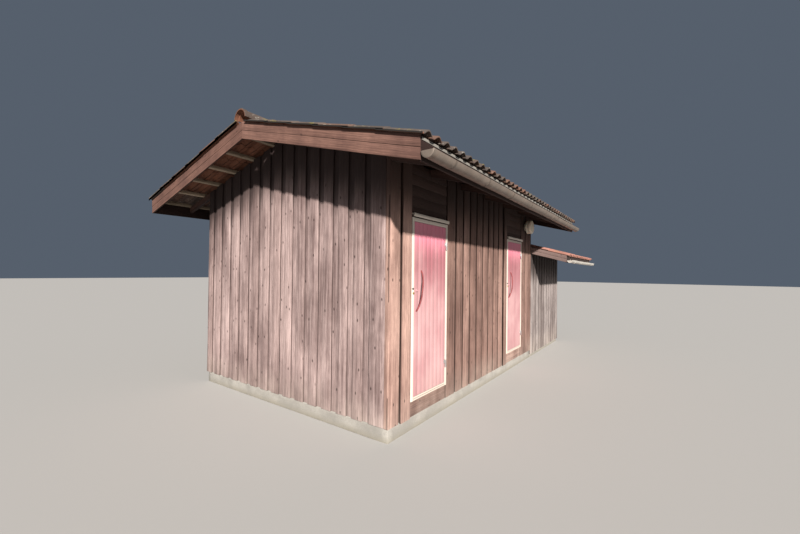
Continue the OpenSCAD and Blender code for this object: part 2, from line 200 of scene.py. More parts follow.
def boards(piece, at, axes, length, width, depth, edge=0.003, foot=0.0, head=0.0, bend=0.0012, cup=0.0,
           stations=6, seed=1, tone=None, shelter=0.0, eaves=0.0):
    """Adds sawn boards to a piece, all in one pass.

    A board is an eased rectangle carried along its length: point = at + a across + o out
    + (foot a + t (length + (head - foot) a)) along, for t from 0 to 1, where a and o run round the outline and
    axes is (along, across, out). foot and head are the slopes of the end cuts. at lies in the middle of the
    foot, on the outer face. bend shifts a and o by a slow sine of t, and cup hollows the outer face with the
    square of a. The shelter attribute is the outline's painted shade plus each board's own value, and it rises
    by up to 1 over the last eaves metres below the head: partly stain that has not faded under the roof,
    partly painted shade of the eaves.
    """
    at = np.atleast_2d(np.asarray(at, float))
    n = len(at)
    full = lambda v: np.broadcast_to(np.asarray(v, float), (n,))
    length, width, depth, foot, head, cover = map(full, (length, width, depth, foot, head, shelter))
    along, across, out = (np.broadcast_to(np.asarray(v, float), (n, 3))[:, None, None] for v in axes)
    rng = np.random.default_rng(seed)
    c = BOARD_OUTLINE
    a = c[:, 0] * width[:, None] / 2 + c[:, 1] * edge
    o = c[:, 2] * depth[:, None] + c[:, 3] * edge
    o = o - cup * (1 - (a / (width[:, None] / 2)) ** 2) * (c[:, 2] == 0)
    t = np.linspace(0, 1, stations)
    phase, turns = rng.uniform(0, 6.28, (2, n, 1)), rng.uniform(0.6, 2.2, (2, n, 1))
    sway = bend * np.sin(turns * 6.28 * t + phase) * (length[:, None] > 0.5)
    a3 = a[:, None, :] + sway[0][:, :, None]
    o3 = o[:, None, :] + 0.7 * sway[1][:, :, None]
    run = foot[:, None, None] * a3 + t[None, :, None] * (length[:, None, None] + (head - foot)[:, None, None] * a3)
    rings = at[:, None, None] + a3[..., None] * across + o3[..., None] * out + run[..., None] * along
    steps = np.hypot(np.diff(a, axis=1, append=a[:, :1]), np.diff(o, axis=1, append=o[:, :1]))
    girth = np.concatenate([np.zeros((n, 1)), np.cumsum(steps, 1)], 1) + rng.uniform(0, GRAIN_SPAN, (n, 1))
    runs = t * length[:, None] + rng.uniform(0, GRAIN_SPAN, (n, 1))
    below = (1 - t)[None, :, None] * length[:, None, None]
    # Darkening towards the head: partly unfaded stain, partly painted shade of the eaves
    eave_darkening = np.clip(1 - below / eaves, 0, 1) if eaves else 0 * below
    shade = np.clip(BOARD_SIDE_SHADE + cover[:, None, None] + eave_darkening, 0, 2)
    piece.loft(rings, runs, girth, rng.uniform(0, 1, n) if tone is None else full(tone), shade)


def carried(piece, path, tangent_up, outline, scale=1.0):
    """Carries an outline along a path: point = path + a side + o up, where side is tangent x up.

    path is stations x 3, outline is ring points x 2 (outer line first, then the inner line backwards), and
    scale shrinks or swells the outline at each station.
    """
    outline = np.asarray(outline, float)
    tangent = np.gradient(path, axis=0)
    tangent /= np.linalg.norm(tangent, axis=1, keepdims=True)
    side = np.cross(tangent, np.broadcast_to(tangent_up, path.shape))
    side /= np.linalg.norm(side, axis=1, keepdims=True)
    up = np.cross(side, tangent)
    a, o = np.broadcast_to(scale, len(path))[:, None] * outline.T[:, None]
    rings = path[:, None] + a[..., None] * side[:, None] + o[..., None] * up[:, None]
    piece.loft(rings[None], distances(path), distances(outline, True))


def round_outline(radius, count):
    """Circle of ring points that starts at the left and runs clockwise."""
    v = math.pi - np.arange(count) / count * 2 * math.pi
    return radius * points(np.cos(v), np.sin(v))


def half_ring(radius, count=25):
    """Lower half of a circle."""
    v = np.linspace(0, math.pi, count)
    return -radius * points(np.cos(v), np.sin(v))


def turned(piece, centre, profile, count):
    """Turns a profile about an axis that points out of the door side: point = centre - h Y + r (cos v X + sin v Z)."""
    profile = np.asarray(profile, float)
    v = np.linspace(0, 2 * math.pi, count, endpoint=False)
    circle = points(np.cos(v), 0, np.sin(v))
    rings = centre - profile[:, 1, None, None] * Y + profile[:, 0, None, None] * circle
    girth = (np.arange(count + 1) / count * profile[:, 0].max() * 2 * math.pi)[None]
    piece.loft(rings[None], distances(profile), girth)


# ---- Finishes ----

SOIL, DIRT, DUST = (0.33, 0.28, 0.24), (0.3, 0.25, 0.2), (0.34, 0.31, 0.27)
GREY_DUST, DAMP, MOSS = (0.36, 0.32, 0.26), (0.16, 0.14, 0.1), (0.21, 0.185, 0.035)
BARE_CHIP, KNOT = (0.3, 0.22, 0.17), (0.1, 0.055, 0.03)
SHINE = "Specular IOR Level"


class Finish:
    """A procedural material in the making. Most methods add a node and return an output socket."""

    def __init__(self, name):
        self.material = bpy.data.materials.new(name)
        self.material.use_nodes = True
        self.nodes, self.links = self.material.node_tree.nodes, self.material.node_tree.links
        self.shader = self.nodes["Principled BSDF"]
        self.places = self.nodes.new("ShaderNodeTexCoord").outputs["Object"]

    def feed(self, socket, value):
        """Links an output to a socket, or gives the socket a plain value."""
        if isinstance(value, bpy.types.NodeSocket):
            self.links.new(value, socket)
        else:
            socket.default_value = value

    def put(self, kind, sockets, out=0, **settings):
        node = self.nodes.new(kind)
        for key, value in settings.items():
            setattr(node, key, value)
        for key, value in sockets.items():
            self.feed(node.inputs[key], value)
        return node.outputs[out]

    def attribute(self, name):
        return self.put("ShaderNodeAttribute", {}, "Fac", attribute_name=name)

    def grain(self, along, across, shift=0):
        """The piece's own UV map in metres, scaled along and across the grain."""
        uv = self.put("ShaderNodeUVMap", {}, uv_map="grain")
        return self.put("ShaderNodeMapping", {0: uv, 1: (shift, shift, shift), 3: (along, across, 1)})

    def stretched(self, *scale):
        return self.put("ShaderNodeMapping", {0: self.places, 3: scale})

    def noise(self, where, scale, detail, rough=0.6, distort=0):
        return self.put("ShaderNodeTexNoise", {"Vector": where, "Scale": scale, "Detail": detail,
                                               "Roughness": rough, "Distortion": distort})

    def rings(self, along, across, shift, distort, fine):
        """Year rings: waves across the grain, strongly distorted."""
        return self.put("ShaderNodeTexWave", {"Vector": self.grain(along, across, shift), "Scale": 1,
                                              "Distortion": distort, "Detail": 3, "Detail Scale": fine},
                        "Fac", bands_direction="Y")

    def cells(self, where, scale=1, out="Distance", dimensions="3D"):
        return self.put("ShaderNodeTexVoronoi", {"Vector": where, "Scale": scale}, out, voronoi_dimensions=dimensions)

    def knots(self, along, across, small, large, share):
        """1 inside a knot: the nearest of scattered points is close, and its random number is above the share."""
        where = self.grain(along, across, 1.3)
        chance = self.put("ShaderNodeSeparateColor", {0: self.cells(where, 1, "Color", "2D")}, 0)
        near = self.ramp(self.cells(where, 1, "Distance", "2D"), small, large, 1, 0)
        return self.times(near, self.ramp(chance, share, share + 0.02))

    def ramp(self, value, low, high, to_low=0, to_high=1):
        return self.put("ShaderNodeMapRange", {0: value, 1: low, 2: high, 3: to_low, 4: to_high},
                        interpolation_type="SMOOTHSTEP")

    def times(self, a, b, how="MULTIPLY"):
        return self.put("ShaderNodeMath", {0: a, 1: b}, operation=how, use_clamp=how != "SUBTRACT")

    def plus(self, a, b):
        return self.times(a, b, "ADD")

    def minus(self, a, b):
        return self.times(a, b, "SUBTRACT")

    def blend(self, share, a, b, how="MIX"):
        colour = lambda c: c if isinstance(c, bpy.types.NodeSocket) else (*c, 1)
        return self.put("ShaderNodeMix", {0: share, 6: colour(a), 7: colour(b)}, 2, data_type="RGBA",
                        blend_type=how)

    def layers(self, base, *coats):
        """Coats of colour over a base, each as (share, colour)."""
        for share, colour in coats:
            base = self.blend(share, base, colour)
        return base

    def toned(self, base, top, lows, highs):
        """The base times a factor that runs with the tone, from 0 to top, for red, green and blue."""
        tone = self.attribute("tone")
        factor = {i: self.ramp(tone, 0, top, low, high) for i, (low, high) in enumerate(zip(lows, highs))}
        return self.blend(1, base, self.put("ShaderNodeCombineColor", factor), "MULTIPLY")

    def height(self):
        return self.put("ShaderNodeSeparateXYZ", {0: self.places}, "Z")

    def upward(self):
        """1 on faces that look up, 0 on faces that look down."""
        normal = self.put("ShaderNodeNewGeometry", {}, "Normal")
        return self.put("ShaderNodeSeparateXYZ", {0: normal}, "Z")

    def done(self, colour, rough, relief, depth, strength, extra="Metallic", value=0):
        """Joins the parts to the shader. depth is the height of the relief in metres."""
        bump = self.put("ShaderNodeBump", {"Height": relief, "Distance": depth, "Strength": strength})
        for key, part in (("Base Color", colour), ("Roughness", rough), ("Normal", bump), (extra, value)):
            self.feed(self.shader.inputs[key], part)


def tint(colour, factor):
    return tuple(min(1, c * factor) for c in colour)


def stained_wood(f, faded, dark, knots=1, splash=1, streak=1):
    """Stained boards: fibres, streaks and knots along each board, faded where the weather reaches, and darkened where
    the shelter value is high: partly unfaded stain, partly painted shade on board sides, in recesses and under the
    eaves.
    """
    fibre = f.noise(f.grain(7, 260), 1, 5, 0.62, 0.25)
    streaks = f.noise(f.grain(0.9, 34, 3.1), 1, 4, 0.55, 0.6)
    rings = f.rings(0.55, 16, 7.7, 9, 1.3)
    patches = f.noise(f.stretched(1.5, 1.5, 0.8), 1.5, 5)
    shelter = f.attribute("shelter")
    weather = f.plus(f.times(f.ramp(patches, 0.3, 0.7), 0.55), f.times(f.ramp(streaks, 0.3, 0.75), 0.45 * streak))
    # Fading drops where the shelter value is high: partly unfaded stain, partly painted shade
    weather = f.times(weather, f.ramp(shelter, 0, 1, 1, 0.3))
    knot = f.times(f.knots(4.2, 7.5, 0.035, 0.1, 0.62), knots)
    foot = f.times(f.ramp(f.height(), 0.12, 0.55, 0.35, 0), f.ramp(patches, 0.35, 0.65, 0.3, 1))
    colour = f.layers(f.blend(weather, dark, faded),
                      (f.times(f.ramp(rings, 0.2, 0.9), 0.34), tint(dark, 0.85)),
                      (f.ramp(fibre, 0.33, 0.6, 0.5, 0), tint(dark, 0.5)),
                      # Painted shade: boards go near-black where the shelter value is high, on sides, in recesses and
                      # under the eaves
                      (f.ramp(shelter, 0.08, 0.72, 0, 0.95), tint(dark, 0.24)))
    colour = f.toned(colour, 2, (0.76, 0.75, 0.76), (1.6, 1.69, 1.75))
    colour = f.layers(colour, (f.times(knot, 0.85), tint(dark, 0.3)), (f.times(foot, splash), SOIL))
    relief = f.minus(f.plus(f.times(fibre, 0.6), f.times(rings, 0.4)), f.times(knot, 0.4))
    f.done(colour, f.ramp(fibre, 0.3, 0.7, 0.92, 0.7), relief, 0.0022, 0.8, SHINE, 0.25)


def painted_wood(f, colour, deep, bleached, kept, rough, wear=1):
    """Opaque paint over wood: brush lines along the grain, bleached clouds, dirt low down, and a paler lower part that
    is partly sun-bleached paint and partly painted sunlight. Sheltered faces take the kept colour, partly unbleached
    paint and partly painted light; joints and edges near the head get painted shade.
    """
    brush = f.noise(f.grain(3, 300), 1, 4)
    broad = f.noise(f.grain(0.8, 12, 2.2), 1, 4, 0.6, 0.4)
    cloud = f.noise(f.stretched(1.8, 1.8, 1.3), 1.4, 3, 0.5)
    shelter = f.attribute("shelter")
    # Bleached clouds, and a paler part below 1.1 m to 1.9 m: partly sun-bleached paint, partly painted sunlight below
    # the eave's shadow
    worn_and_sunlit = f.plus(f.times(f.ramp(cloud, 0.4, 0.72), 0.4), f.ramp(f.height(), 1.1, 1.9, 0.4, 0))
    chips = f.times(f.ramp(f.noise(f.grain(26, 60, 5), 1, 6, 0.7), 0.66, 0.7), 0.55 * wear)
    dirt = f.times(f.ramp(f.height(), 0.3, 0.75, 0.5, 0), f.ramp(cloud, 0.3, 0.7))
    base = f.blend(worn_and_sunlit, f.blend(f.ramp(broad, 0.3, 0.72), deep, colour), bleached)
    base = f.layers(f.toned(base, 1, (0.93, 0.9, 0.9), (1.06, 1.08, 1.08)),
                    # Kept colour where sheltered: partly unbleached paint, partly painted light (brighter rose on leaf
                    # tops, darker cream on frame sides)
                    (f.ramp(shelter, 0, 1, 0, 0.8), kept),
                    # Painted shade in joints and along edges near the head
                    (f.ramp(shelter, 1.2, 2, 0, 0.9), tint(deep, 0.3)),
                    (chips, BARE_CHIP), (f.times(dirt, 0.6 * wear), DIRT))
    f.done(base, f.ramp(brush, 0.3, 0.7, rough - 0.08, rough + 0.14), f.minus(brush, f.times(chips, 0.8)), 0.001, 0.6)


def bare_timber(f, light, dark):
    """Unpainted sawn softwood, greyed, with fibres and knots."""
    fibre = f.noise(f.grain(6, 240), 1, 5, 0.6, 0.2)
    rings = f.rings(0.5, 22, 4.4, 7, 1.2)
    patches = f.noise(f.stretched(2, 2, 2), 1.3, 4)
    base = f.layers(f.blend(f.ramp(rings, 0.2, 0.9, 0, 0.8), light, dark),
                    (f.ramp(fibre, 0.35, 0.6, 0.5, 0), tint(dark, 0.6)),
                    (f.ramp(patches, 0.4, 0.7, 0, 0.45), tint(dark, 0.7)),
                    (f.times(f.knots(3.5, 14, 0.05, 0.14, 0.6), 0.7), KNOT))
    base = f.toned(base, 1, (0.8,) * 3, (1.15,) * 3)
    f.done(base, f.ramp(fibre, 0.3, 0.7, 0.9, 0.7), f.plus(f.times(fibre, 0.5), rings), 0.0015, 0.7, SHINE, 0.25)


def fired_clay(f, top, under, lichen, moss=1, spotted=1):
    """Roof tiles: cleaner clay underneath, darkened tops with grey lichen spots and moss.

    The shelter attribute is 0 on tops, 1 on undersides and 2 on the edges along the verges, which painted shade
    blackens.
    """
    grit = f.noise(f.places, 190, 5, 0.65)
    cloud = f.noise(f.places, 2.6, 6, 0.65)
    blots = f.noise(f.places, 11, 6, 0.7, 0.5)
    tone, shelter = f.attribute("tone"), f.attribute("shelter")
    spots = f.times(f.ramp(f.cells(f.places, 26), 0.16, 0.3, 1, 0), f.ramp(blots, 0.42, 0.6))
    green = f.times(f.ramp(f.noise(f.places, 5, 6, 0.75), 0.58, 0.66), f.ramp(f.upward(), -0.1, 0.4))
    green = f.times(green, moss)
    weathered = f.layers(f.blend(f.ramp(cloud, 0.35, 0.68), tint(top, 0.62), top),
                         (f.ramp(tone, 0, 1, 0, 0.55), tint(under, 0.72)),
                         (f.times(spots, 0.7 * spotted), lichen),
                         (f.ramp(blots, 0.54, 0.72, 0, 0.45 * spotted), tint(lichen, 0.75)),
                         (f.times(green, 0.85), MOSS))
    fresh = f.layers(f.blend(f.ramp(cloud, 0.35, 0.7), tint(under, 0.62), under),
                     (f.ramp(tone, 0, 1, 0, 0.35), tint(under, 0.45)))
    base = f.layers(weathered, (f.ramp(shelter, 0, 1), fresh),
                    (f.ramp(grit, 0.35, 0.65, 0.25, 0), tint(top, 0.35)),
                    # Painted shade: the verge edges go black
                    (f.ramp(shelter, 1, 1.9), tint(top, 0.16)))
    relief = f.plus(f.times(grit, 0.35), f.times(green, 0.6))
    f.done(base, f.ramp(blots, 0.3, 0.7, 0.72, 0.92), relief, 0.003, 0.7, SHINE, 0.3)


def dull_metal(f, colour, stain, rough=0.45, metallic=0.35):
    """Weathered coated sheet: streaks down the sheet, spots of stain and dust on top."""
    streak = f.noise(f.stretched(16, 3, 3), 2, 5)
    cloud = f.noise(f.places, 5, 5)
    speck = f.noise(f.places, 120, 4)
    base = f.layers(f.blend(f.ramp(cloud, 0.3, 0.7), tint(colour, 0.78), colour),
                    (f.ramp(streak, 0.5, 0.75, 0, 0.6), stain),
                    (f.ramp(speck, 0.6, 0.68, 0, 0.35), tint(stain, 0.6)),
                    (f.ramp(f.upward(), 0.2, 0.9, 0, 0.35), DUST))
    f.done(base, f.ramp(streak, 0.3, 0.8, rough, rough + 0.25), f.noise(f.places, 30, 3, 0.5), 0.0006, 0.5,
           "Metallic", metallic)


def rough_concrete(f, colour):
    """Cast concrete: cloudy, pitted, damp at its foot."""
    cloud = f.noise(f.places, 3.2, 7, 0.65)
    sand = f.noise(f.places, 140, 5, 0.7)
    pits = f.ramp(f.cells(f.places, 70), 0.1, 0.22, 1, 0)
    damp = f.times(f.ramp(f.height(), 0, 0.09, 0.65, 0), f.ramp(cloud, 0.3, 0.7, 0.5, 1))
    base = f.layers(f.blend(f.ramp(cloud, 0.3, 0.7), tint(colour, 0.68), colour),
                    (f.ramp(sand, 0.35, 0.65, 0.4, 0), tint(colour, 0.5)),
                    (f.times(pits, 0.5), tint(colour, 0.35)), (damp, DAMP))
    f.done(base, 0.92, f.minus(f.plus(sand, f.times(cloud, 0.6)), pits), 0.004, 0.8, SHINE, 0.3)


def peeled_branch(f, colour):
    """Dark branch wood: lengthwise furrows, paler rubbed ridges."""
    furrow = f.noise(f.grain(9, 150), 1, 5, 0.7, 0.8)
    blot = f.noise(f.places, 22, 4)
    base = f.layers(f.blend(f.ramp(furrow, 0.35, 0.7), tint(colour, 0.5), tint(colour, 1.5)),
                    (f.ramp(blot, 0.45, 0.7, 0, 0.6), tint(colour, 0.6)))
    f.done(base, f.ramp(furrow, 0.3, 0.7, 0.7, 0.5), furrow, 0.003, 0.9)


def moulded_cream(f, colour):
    """Matt moulded plastic, dusty on top, slightly yellowed."""
    cloud = f.noise(f.places, 9, 4)
    base = f.layers(f.blend(f.ramp(cloud, 0.3, 0.7), tint(colour, 0.88), colour),
                    (f.ramp(f.upward(), 0.3, 0.95, 0, 0.5), GREY_DUST))
    f.done(base, f.ramp(cloud, 0.3, 0.7, 0.42, 0.55), f.noise(f.places, 400, 2, 0.5), 0.0002, 0.4,
           "Subsurface Weight", 0.08)


# For each finish: its maker, then the maker's values. A name is a colour in the panel, and a name with a
# factor is that colour lightened or darkened.
FINISHES = {
    "faded_board_stain": (stained_wood, "board_faded", "board_dark"),
    "brown_board_stain": (stained_wood, "front_faded", "front_dark"),
    "grey_board_stain": (stained_wood, "annex_faded", "annex_dark"),
    "red_brown_stain": (stained_wood, "trim_faded", "trim_dark", 0.7, 0, 0.8),
    "grey_brown_stain": (stained_wood, "annex_trim", ("annex_trim", 0.5), 0.7, 0, 0.8),
    # The fourth paint value is the kept colour on sheltered faces: darker cream is painted shade on the frames' sides
    # and backs; brighter rose is partly unbleached paint and partly painted light on the leaves' tops
    "old_cream_paint": (painted_wood, "cream", ("cream", 0.8), ("cream", 1.15), ("cream", 0.6), 0.45),
    "old_rose_paint": (painted_wood, "rose", "rose_deep", "rose_pale", "rose_kept", 0.42, 0.6),
    "grey_softwood": (bare_timber, "timber", ("timber", 0.55)),
    "inner_softwood": (bare_timber, (0.42, 0.29, 0.18), (0.24, 0.15, 0.09)),
    "old_clay": (fired_clay, "tile_top", "tile_under", "lichen"),
    "red_clay": (fired_clay, "annex_tile_top", ("annex_tile_top", 0.75), "lichen", 0.4, 0.4),
    "dull_gutter_sheet": (dull_metal, "gutter", (0.16, 0.11, 0.08)),
    "pale_gutter_sheet": (dull_metal, "annex_gutter", (0.2, 0.17, 0.14)),
    "pale_strip_sheet": (dull_metal, ("annex_gutter", 0.55), (0.2, 0.15, 0.12)),
    "dark_strap_sheet": (dull_metal, ("gutter", 0.68), (0.1, 0.065, 0.05)),
    "dark_iron": (dull_metal, (0.1, 0.095, 0.09), (0.08, 0.05, 0.035), 0.45, 0.8),
    "yellow_brass": (dull_metal, (0.52, 0.4, 0.2), (0.2, 0.14, 0.07), 0.35, 0.9),
    "zinc_plating": (dull_metal, (0.6, 0.6, 0.6), (0.3, 0.2, 0.13), 0.32, 0.9),
    "cast_concrete": (rough_concrete, "concrete"),
    "dark_branch": (peeled_branch, "branch"),
    "cream_shade": (moulded_cream, "lamp"),
}


def panel_value(value):
    """A finish's value, with the names of colours looked up in the panel."""
    if isinstance(value, str):
        return tuple(getattr(bpy.context.scene.boathouse_colours, value))
    if isinstance(value, tuple) and isinstance(value[0], str):
        return tint(panel_value(value[0]), value[1])
    return value


def finish(key):
    """The finish of that name, made once."""
    if key not in bpy.data.materials:
        maker, *values = FINISHES[key]
        maker(Finish(key), *map(panel_value, values))
    return bpy.data.materials[key]


# ---- Sizes and colours in the panel ----

def metres(label, text, value):
    return FloatProperty(name=label, description=text, default=value, unit="LENGTH", min=0.0)


def paint(label, text, *value):
    return FloatVectorProperty(name=label, description=text, default=value, subtype="COLOR", min=0.0, max=1.0)


class BoathouseSizes(bpy.types.PropertyGroup):
    """Sizes of boards, tiles and fittings."""
    recess: metres("Recess", "Width of the recess between two cover boards", 0.046)
    gable_recess: metres("Gable recess", "Width of the recess between two cover boards on the gables", 0.086)
    board_depth: metres("Board thickness", "Thickness of a cladding board", 0.022)
    lap: metres("Lap", "How far a base board reaches behind its cover boards", 0.04)
    gable_pitch: metres("Gable pitch", "Distance between cover boards on the gables", 0.236)
    side_pitch: metres("Side pitch", "Distance between cover boards on the long walls", 0.2182)
    annex_pitch: metres("Annex pitch", "Distance between cover boards on the annex", 0.2136)
    # Over this height below their heads the boards darken: partly stain that has not faded, partly painted shade of the
    # eaves
    eaves: metres("Sheltered height", "How far down from their heads the boards are sheltered by the roof", 0.85)
    head_board: metres("Head board", "Exposed height of a board over a door", 0.12)
    courses: IntProperty(name="Courses", description="Courses of tiles on a slope", default=6, min=3)
    tile_width: metres("Tile width", "Width of one tile that shows", 0.152)
    head_lap: metres("Head lap", "How far a tile reaches under the one above", 0.075)
    wave_rise: metres("Wave", "Height of a tile's wave", 0.036)
    lap_lift: metres("Lap lift", "How much a tile's lower end is lifted by the tile below", 0.008)
    drip: metres("Drip", "How far the lowest tiles reach past the fascia", 0.04)
    ridge_tile: metres("Ridge tile", "Length of a ridge tile that shows", 0.395)
    bead: metres("Gutter bead", "Radius of the gutter's rolled edge", 0.006)


class BoathouseColours(bpy.types.PropertyGroup):
    """Colours of the finishes."""
    # The gable and back boards' faded colour is lighter than the door side's: partly greyer faded stain, partly painted
    # light that makes up for the key light striking the gables more slantwise
    board_faded: paint("Faded boards", "Gable and back boards where the stain has faded", 0.61, 0.455, 0.425)
    board_dark: paint("Dark boards", "Gable and back boards where the stain is left", 0.115, 0.073, 0.068)
    front_faded: paint("Faded front boards", "Door side boards where the stain has faded", 0.425, 0.265, 0.215)
    front_dark: paint("Dark front boards", "Door side boards where the stain is left", 0.11, 0.06, 0.048)
    annex_faded: paint("Faded annex boards", "Annex boards where the stain has faded", 0.48, 0.418, 0.395)
    annex_dark: paint("Dark annex boards", "Annex boards where the stain is left", 0.12, 0.092, 0.085)
    trim_faded: paint("Faded trim", "Bargeboards and fascias, faded", 0.265, 0.142, 0.106)
    trim_dark: paint("Dark trim", "Bargeboards and fascias, dark", 0.085, 0.042, 0.034)
    annex_trim: paint("Annex trim", "Annex bargeboards and fascias", 0.27, 0.185, 0.165)
    cream: paint("Cream paint", "Door frames and drip boards", 0.58, 0.51, 0.445)
    rose: paint("Rose paint", "Door leaves", 0.295, 0.128, 0.143)
    rose_deep: paint("Deep rose paint", "Door leaves, deeper streaks", 0.295, 0.112, 0.128)
    rose_pale: paint("Bleached rose paint", "Door leaves, bleached patches", 0.515, 0.325, 0.328)
    # Brighter rose on the leaves' tops in the eave's shade: partly unbleached paint, partly painted light
    rose_kept: paint("Kept rose paint", "Door leaves, under the eaves", 0.7, 0.21, 0.3)
    timber: paint("Timber", "Battens and rafters", 0.4, 0.32, 0.235)
    tile_top: paint("Tile tops", "Weathered tops of the main tiles", 0.085, 0.068, 0.06)
    annex_tile_top: paint("Annex tile tops", "Tops of the annex tiles", 0.4, 0.185, 0.145)
    tile_under: paint("Tile undersides", "Fresh clay under the tiles", 0.23, 0.09, 0.05)
    lichen: paint("Lichen", "Lichen on the tiles", 0.3, 0.285, 0.25)
    gutter: paint("Gutter", "Main gutter", 0.195, 0.158, 0.132)
    annex_gutter: paint("Annex gutter", "Annex gutter", 0.56, 0.53, 0.48)
    concrete: paint("Concrete", "Foundations", 0.36, 0.34, 0.31)
    branch: paint("Branch", "Door handles", 0.19, 0.03, 0.032)
    lamp: paint("Lamp", "Wall lamp", 0.62, 0.545, 0.44)


class BoathouseStage(bpy.types.PropertyGroup):
    """Floor, light and camera."""
    floor_side: metres("Floor side", "Side of the floor", 160.0)
    floor: paint("Floor", "Colour of the floor", 0.39, 0.38, 0.37)
    sky: paint("Surroundings", "Colour of the soft light from all round", 0.62, 0.77, 1.0)
    fill: FloatProperty(name="Fill", description="Strength of the light from all round", default=0.15, min=0.0)
    key: FloatProperty(name="Key", description="Strength of the key light", default=9.5, min=0.0)
    softness: FloatProperty(name="Softness", description="Angle that the key light covers", default=math.radians(2),
                            subtype="ANGLE")
    focal: FloatProperty(name="Focal length", description="Lens in millimetres on a 36 mm sensor", default=16.48)


# ---- Walls ----

WALLS = {"near": (Y, -X), "far": (Y, X), "front": (X, -Y), "back": (X, Y)}     # across and out
BASE_T = 0.02       # thickness of a base board
POST_PROUD = 0.017  # how far the boards beside the door posts stand out, level with the posts
GABLE_FIRST, GABLE_FIRST_WIDE = 0.26, 0.2    # first board of a gable: where it ends, and its width
# Measured ends and starts of boards on the door side: from its left corner, and from its middle
LEFT_ENDS, RIGHT_ENDS = (0.178, 0.204), (1.985, 2.028, 2.236, 2.258)
# Middles of the recesses between the doors
GROOVES = np.array([-0.965, -0.7456, -0.5268, -0.3019, -0.0791, 0.1387, 0.3503, 0.565, 0.7827])
HALF_GROOVE = 0.022


def clad(piece, side, face, spans, roof, seed, tones=None, dim=0.75):
    """Vertical cover boards that each fill one span of a wall, up to the roof, and base boards behind the gaps.

    spans is a list of (start, end) along the wall. The heads follow the slope on a gable and are level on a
    long wall. The cover boards' outer faces lie in the wall's face. dim is the base boards' shelter value:
    painted shade in the recesses between the cover boards, deepening under the eaves.
    """
    sizes = bpy.context.scene.boathouse_sizes
    across, out = WALLS[side]

    def row(ends, depth, thick, edge, bend, cup, seed, tones, shelter, eaves):
        mid = ends.mean(1)
        tall = roof.wall_top(mid if across is Y else HALF_W + 0 * mid) - roof.foot
        boards(piece, mid[:, None] * across + (face - depth) * out + roof.foot * Z, (Z, across, out), tall,
               ends[:, 1] - ends[:, 0] + 2 * (sizes.lap if depth else 0), thick, edge, 0.0,
               -np.copysign(TAN, mid) * across[1], bend, cup, 12, seed, tones, shelter, eaves)

    spans = np.asarray(spans, float)
    row(spans, 0.0, sizes.board_depth, 0.0035, 0.0016, 0.0012, seed, tones, 0.0, sizes.eaves)
    gaps = np.stack([spans[:-1, 1], spans[1:, 0]], 1)
    wide = gaps[:, 1] - gaps[:, 0]
    gaps = gaps[(wide > 0.004) & (wide < 0.3)]
    if len(gaps):
        # Base boards behind the gaps: dim is painted shade in the recesses
        row(gaps, sizes.board_depth, BASE_T, 0.003, 0.001, 0.0, seed + 50, 0.6, dim, 1.1 * sizes.eaves)


def even_spans(start, end, pitch, recess):
    """Cover boards of one width with even recesses, from corner to corner."""
    n = int(round((end - start + recess) / pitch))
    step = (end - start + recess) / n
    return [(a, a + step - recess) for a in start + step * np.arange(n)]


def front_boards(s):
    """Cover boards at their measured places round the doors, backing boards and the corner boards."""
    a0, a1, b0, b1 = (box[end, 0] for box in DOORS for end in (0, 1))
    tall = MAIN.wall_top() - WALL_FOOT
    piece = Piece()

    # Backing strips behind gaps; their shelter value is painted shade in the recess
    def backing(x, width, seed, shelter):
        boards(piece, points(x, -HALF_W + s.board_depth, WALL_FOOT), UPRIGHT, tall, width, BASE_T, 0.002,
               stations=3, seed=seed, shelter=shelter)

    first, second = np.array(LEFT_ENDS) - HALF_L
    middle = [(a1 + 0.03, GROOVES[0] - HALF_GROOVE),
              *((g + HALF_GROOVE, h - HALF_GROOVE) for g, h in zip(GROOVES[:-1], GROOVES[1:]))]
    right = np.reshape((b1 + 0.03, *RIGHT_ENDS, HALF_L), (3, 2))
    clad(piece, "front", HALF_W, [(-HALF_L, first)], MAIN, 5, [1.7])
    clad(piece, "front", HALF_W + POST_PROUD, [(second, a0 - 0.006)], MAIN, 55, [1.5])
    backing((first + second) / 2, 0.1, 56, 0.5)
    clad(piece, "front", HALF_W, middle, MAIN, 6)
    clad(piece, "front", HALF_W + POST_PROUD, [(GROOVES[-1] + HALF_GROOVE, b0 - 0.01)], MAIN, 57, [0.6])
    clad(piece, "front", HALF_W, right, MAIN, 7, [0.5, 0.4, 0.05])
    backing([a1 + 0.012, b1 + 0.012, b0 - 0.005, GROOVES[-1]], [0.05, 0.05, 0.05, 0.12], 8, 0.9)
    for side in (-1, 1):
        boards(piece, (side * HALF_L, -HALF_W + 0.029, WALL_FOOT), (Z, Y, side * X), tall - 0.004, 0.056, 0.024,
               seed=9 + side, tone=1.6, eaves=s.eaves)
    piece.build("front_wall_boards", "brown_board_stain", "dark_boards",
                ["front_wall_left", "front_wall_middle", "front_wall_right"])


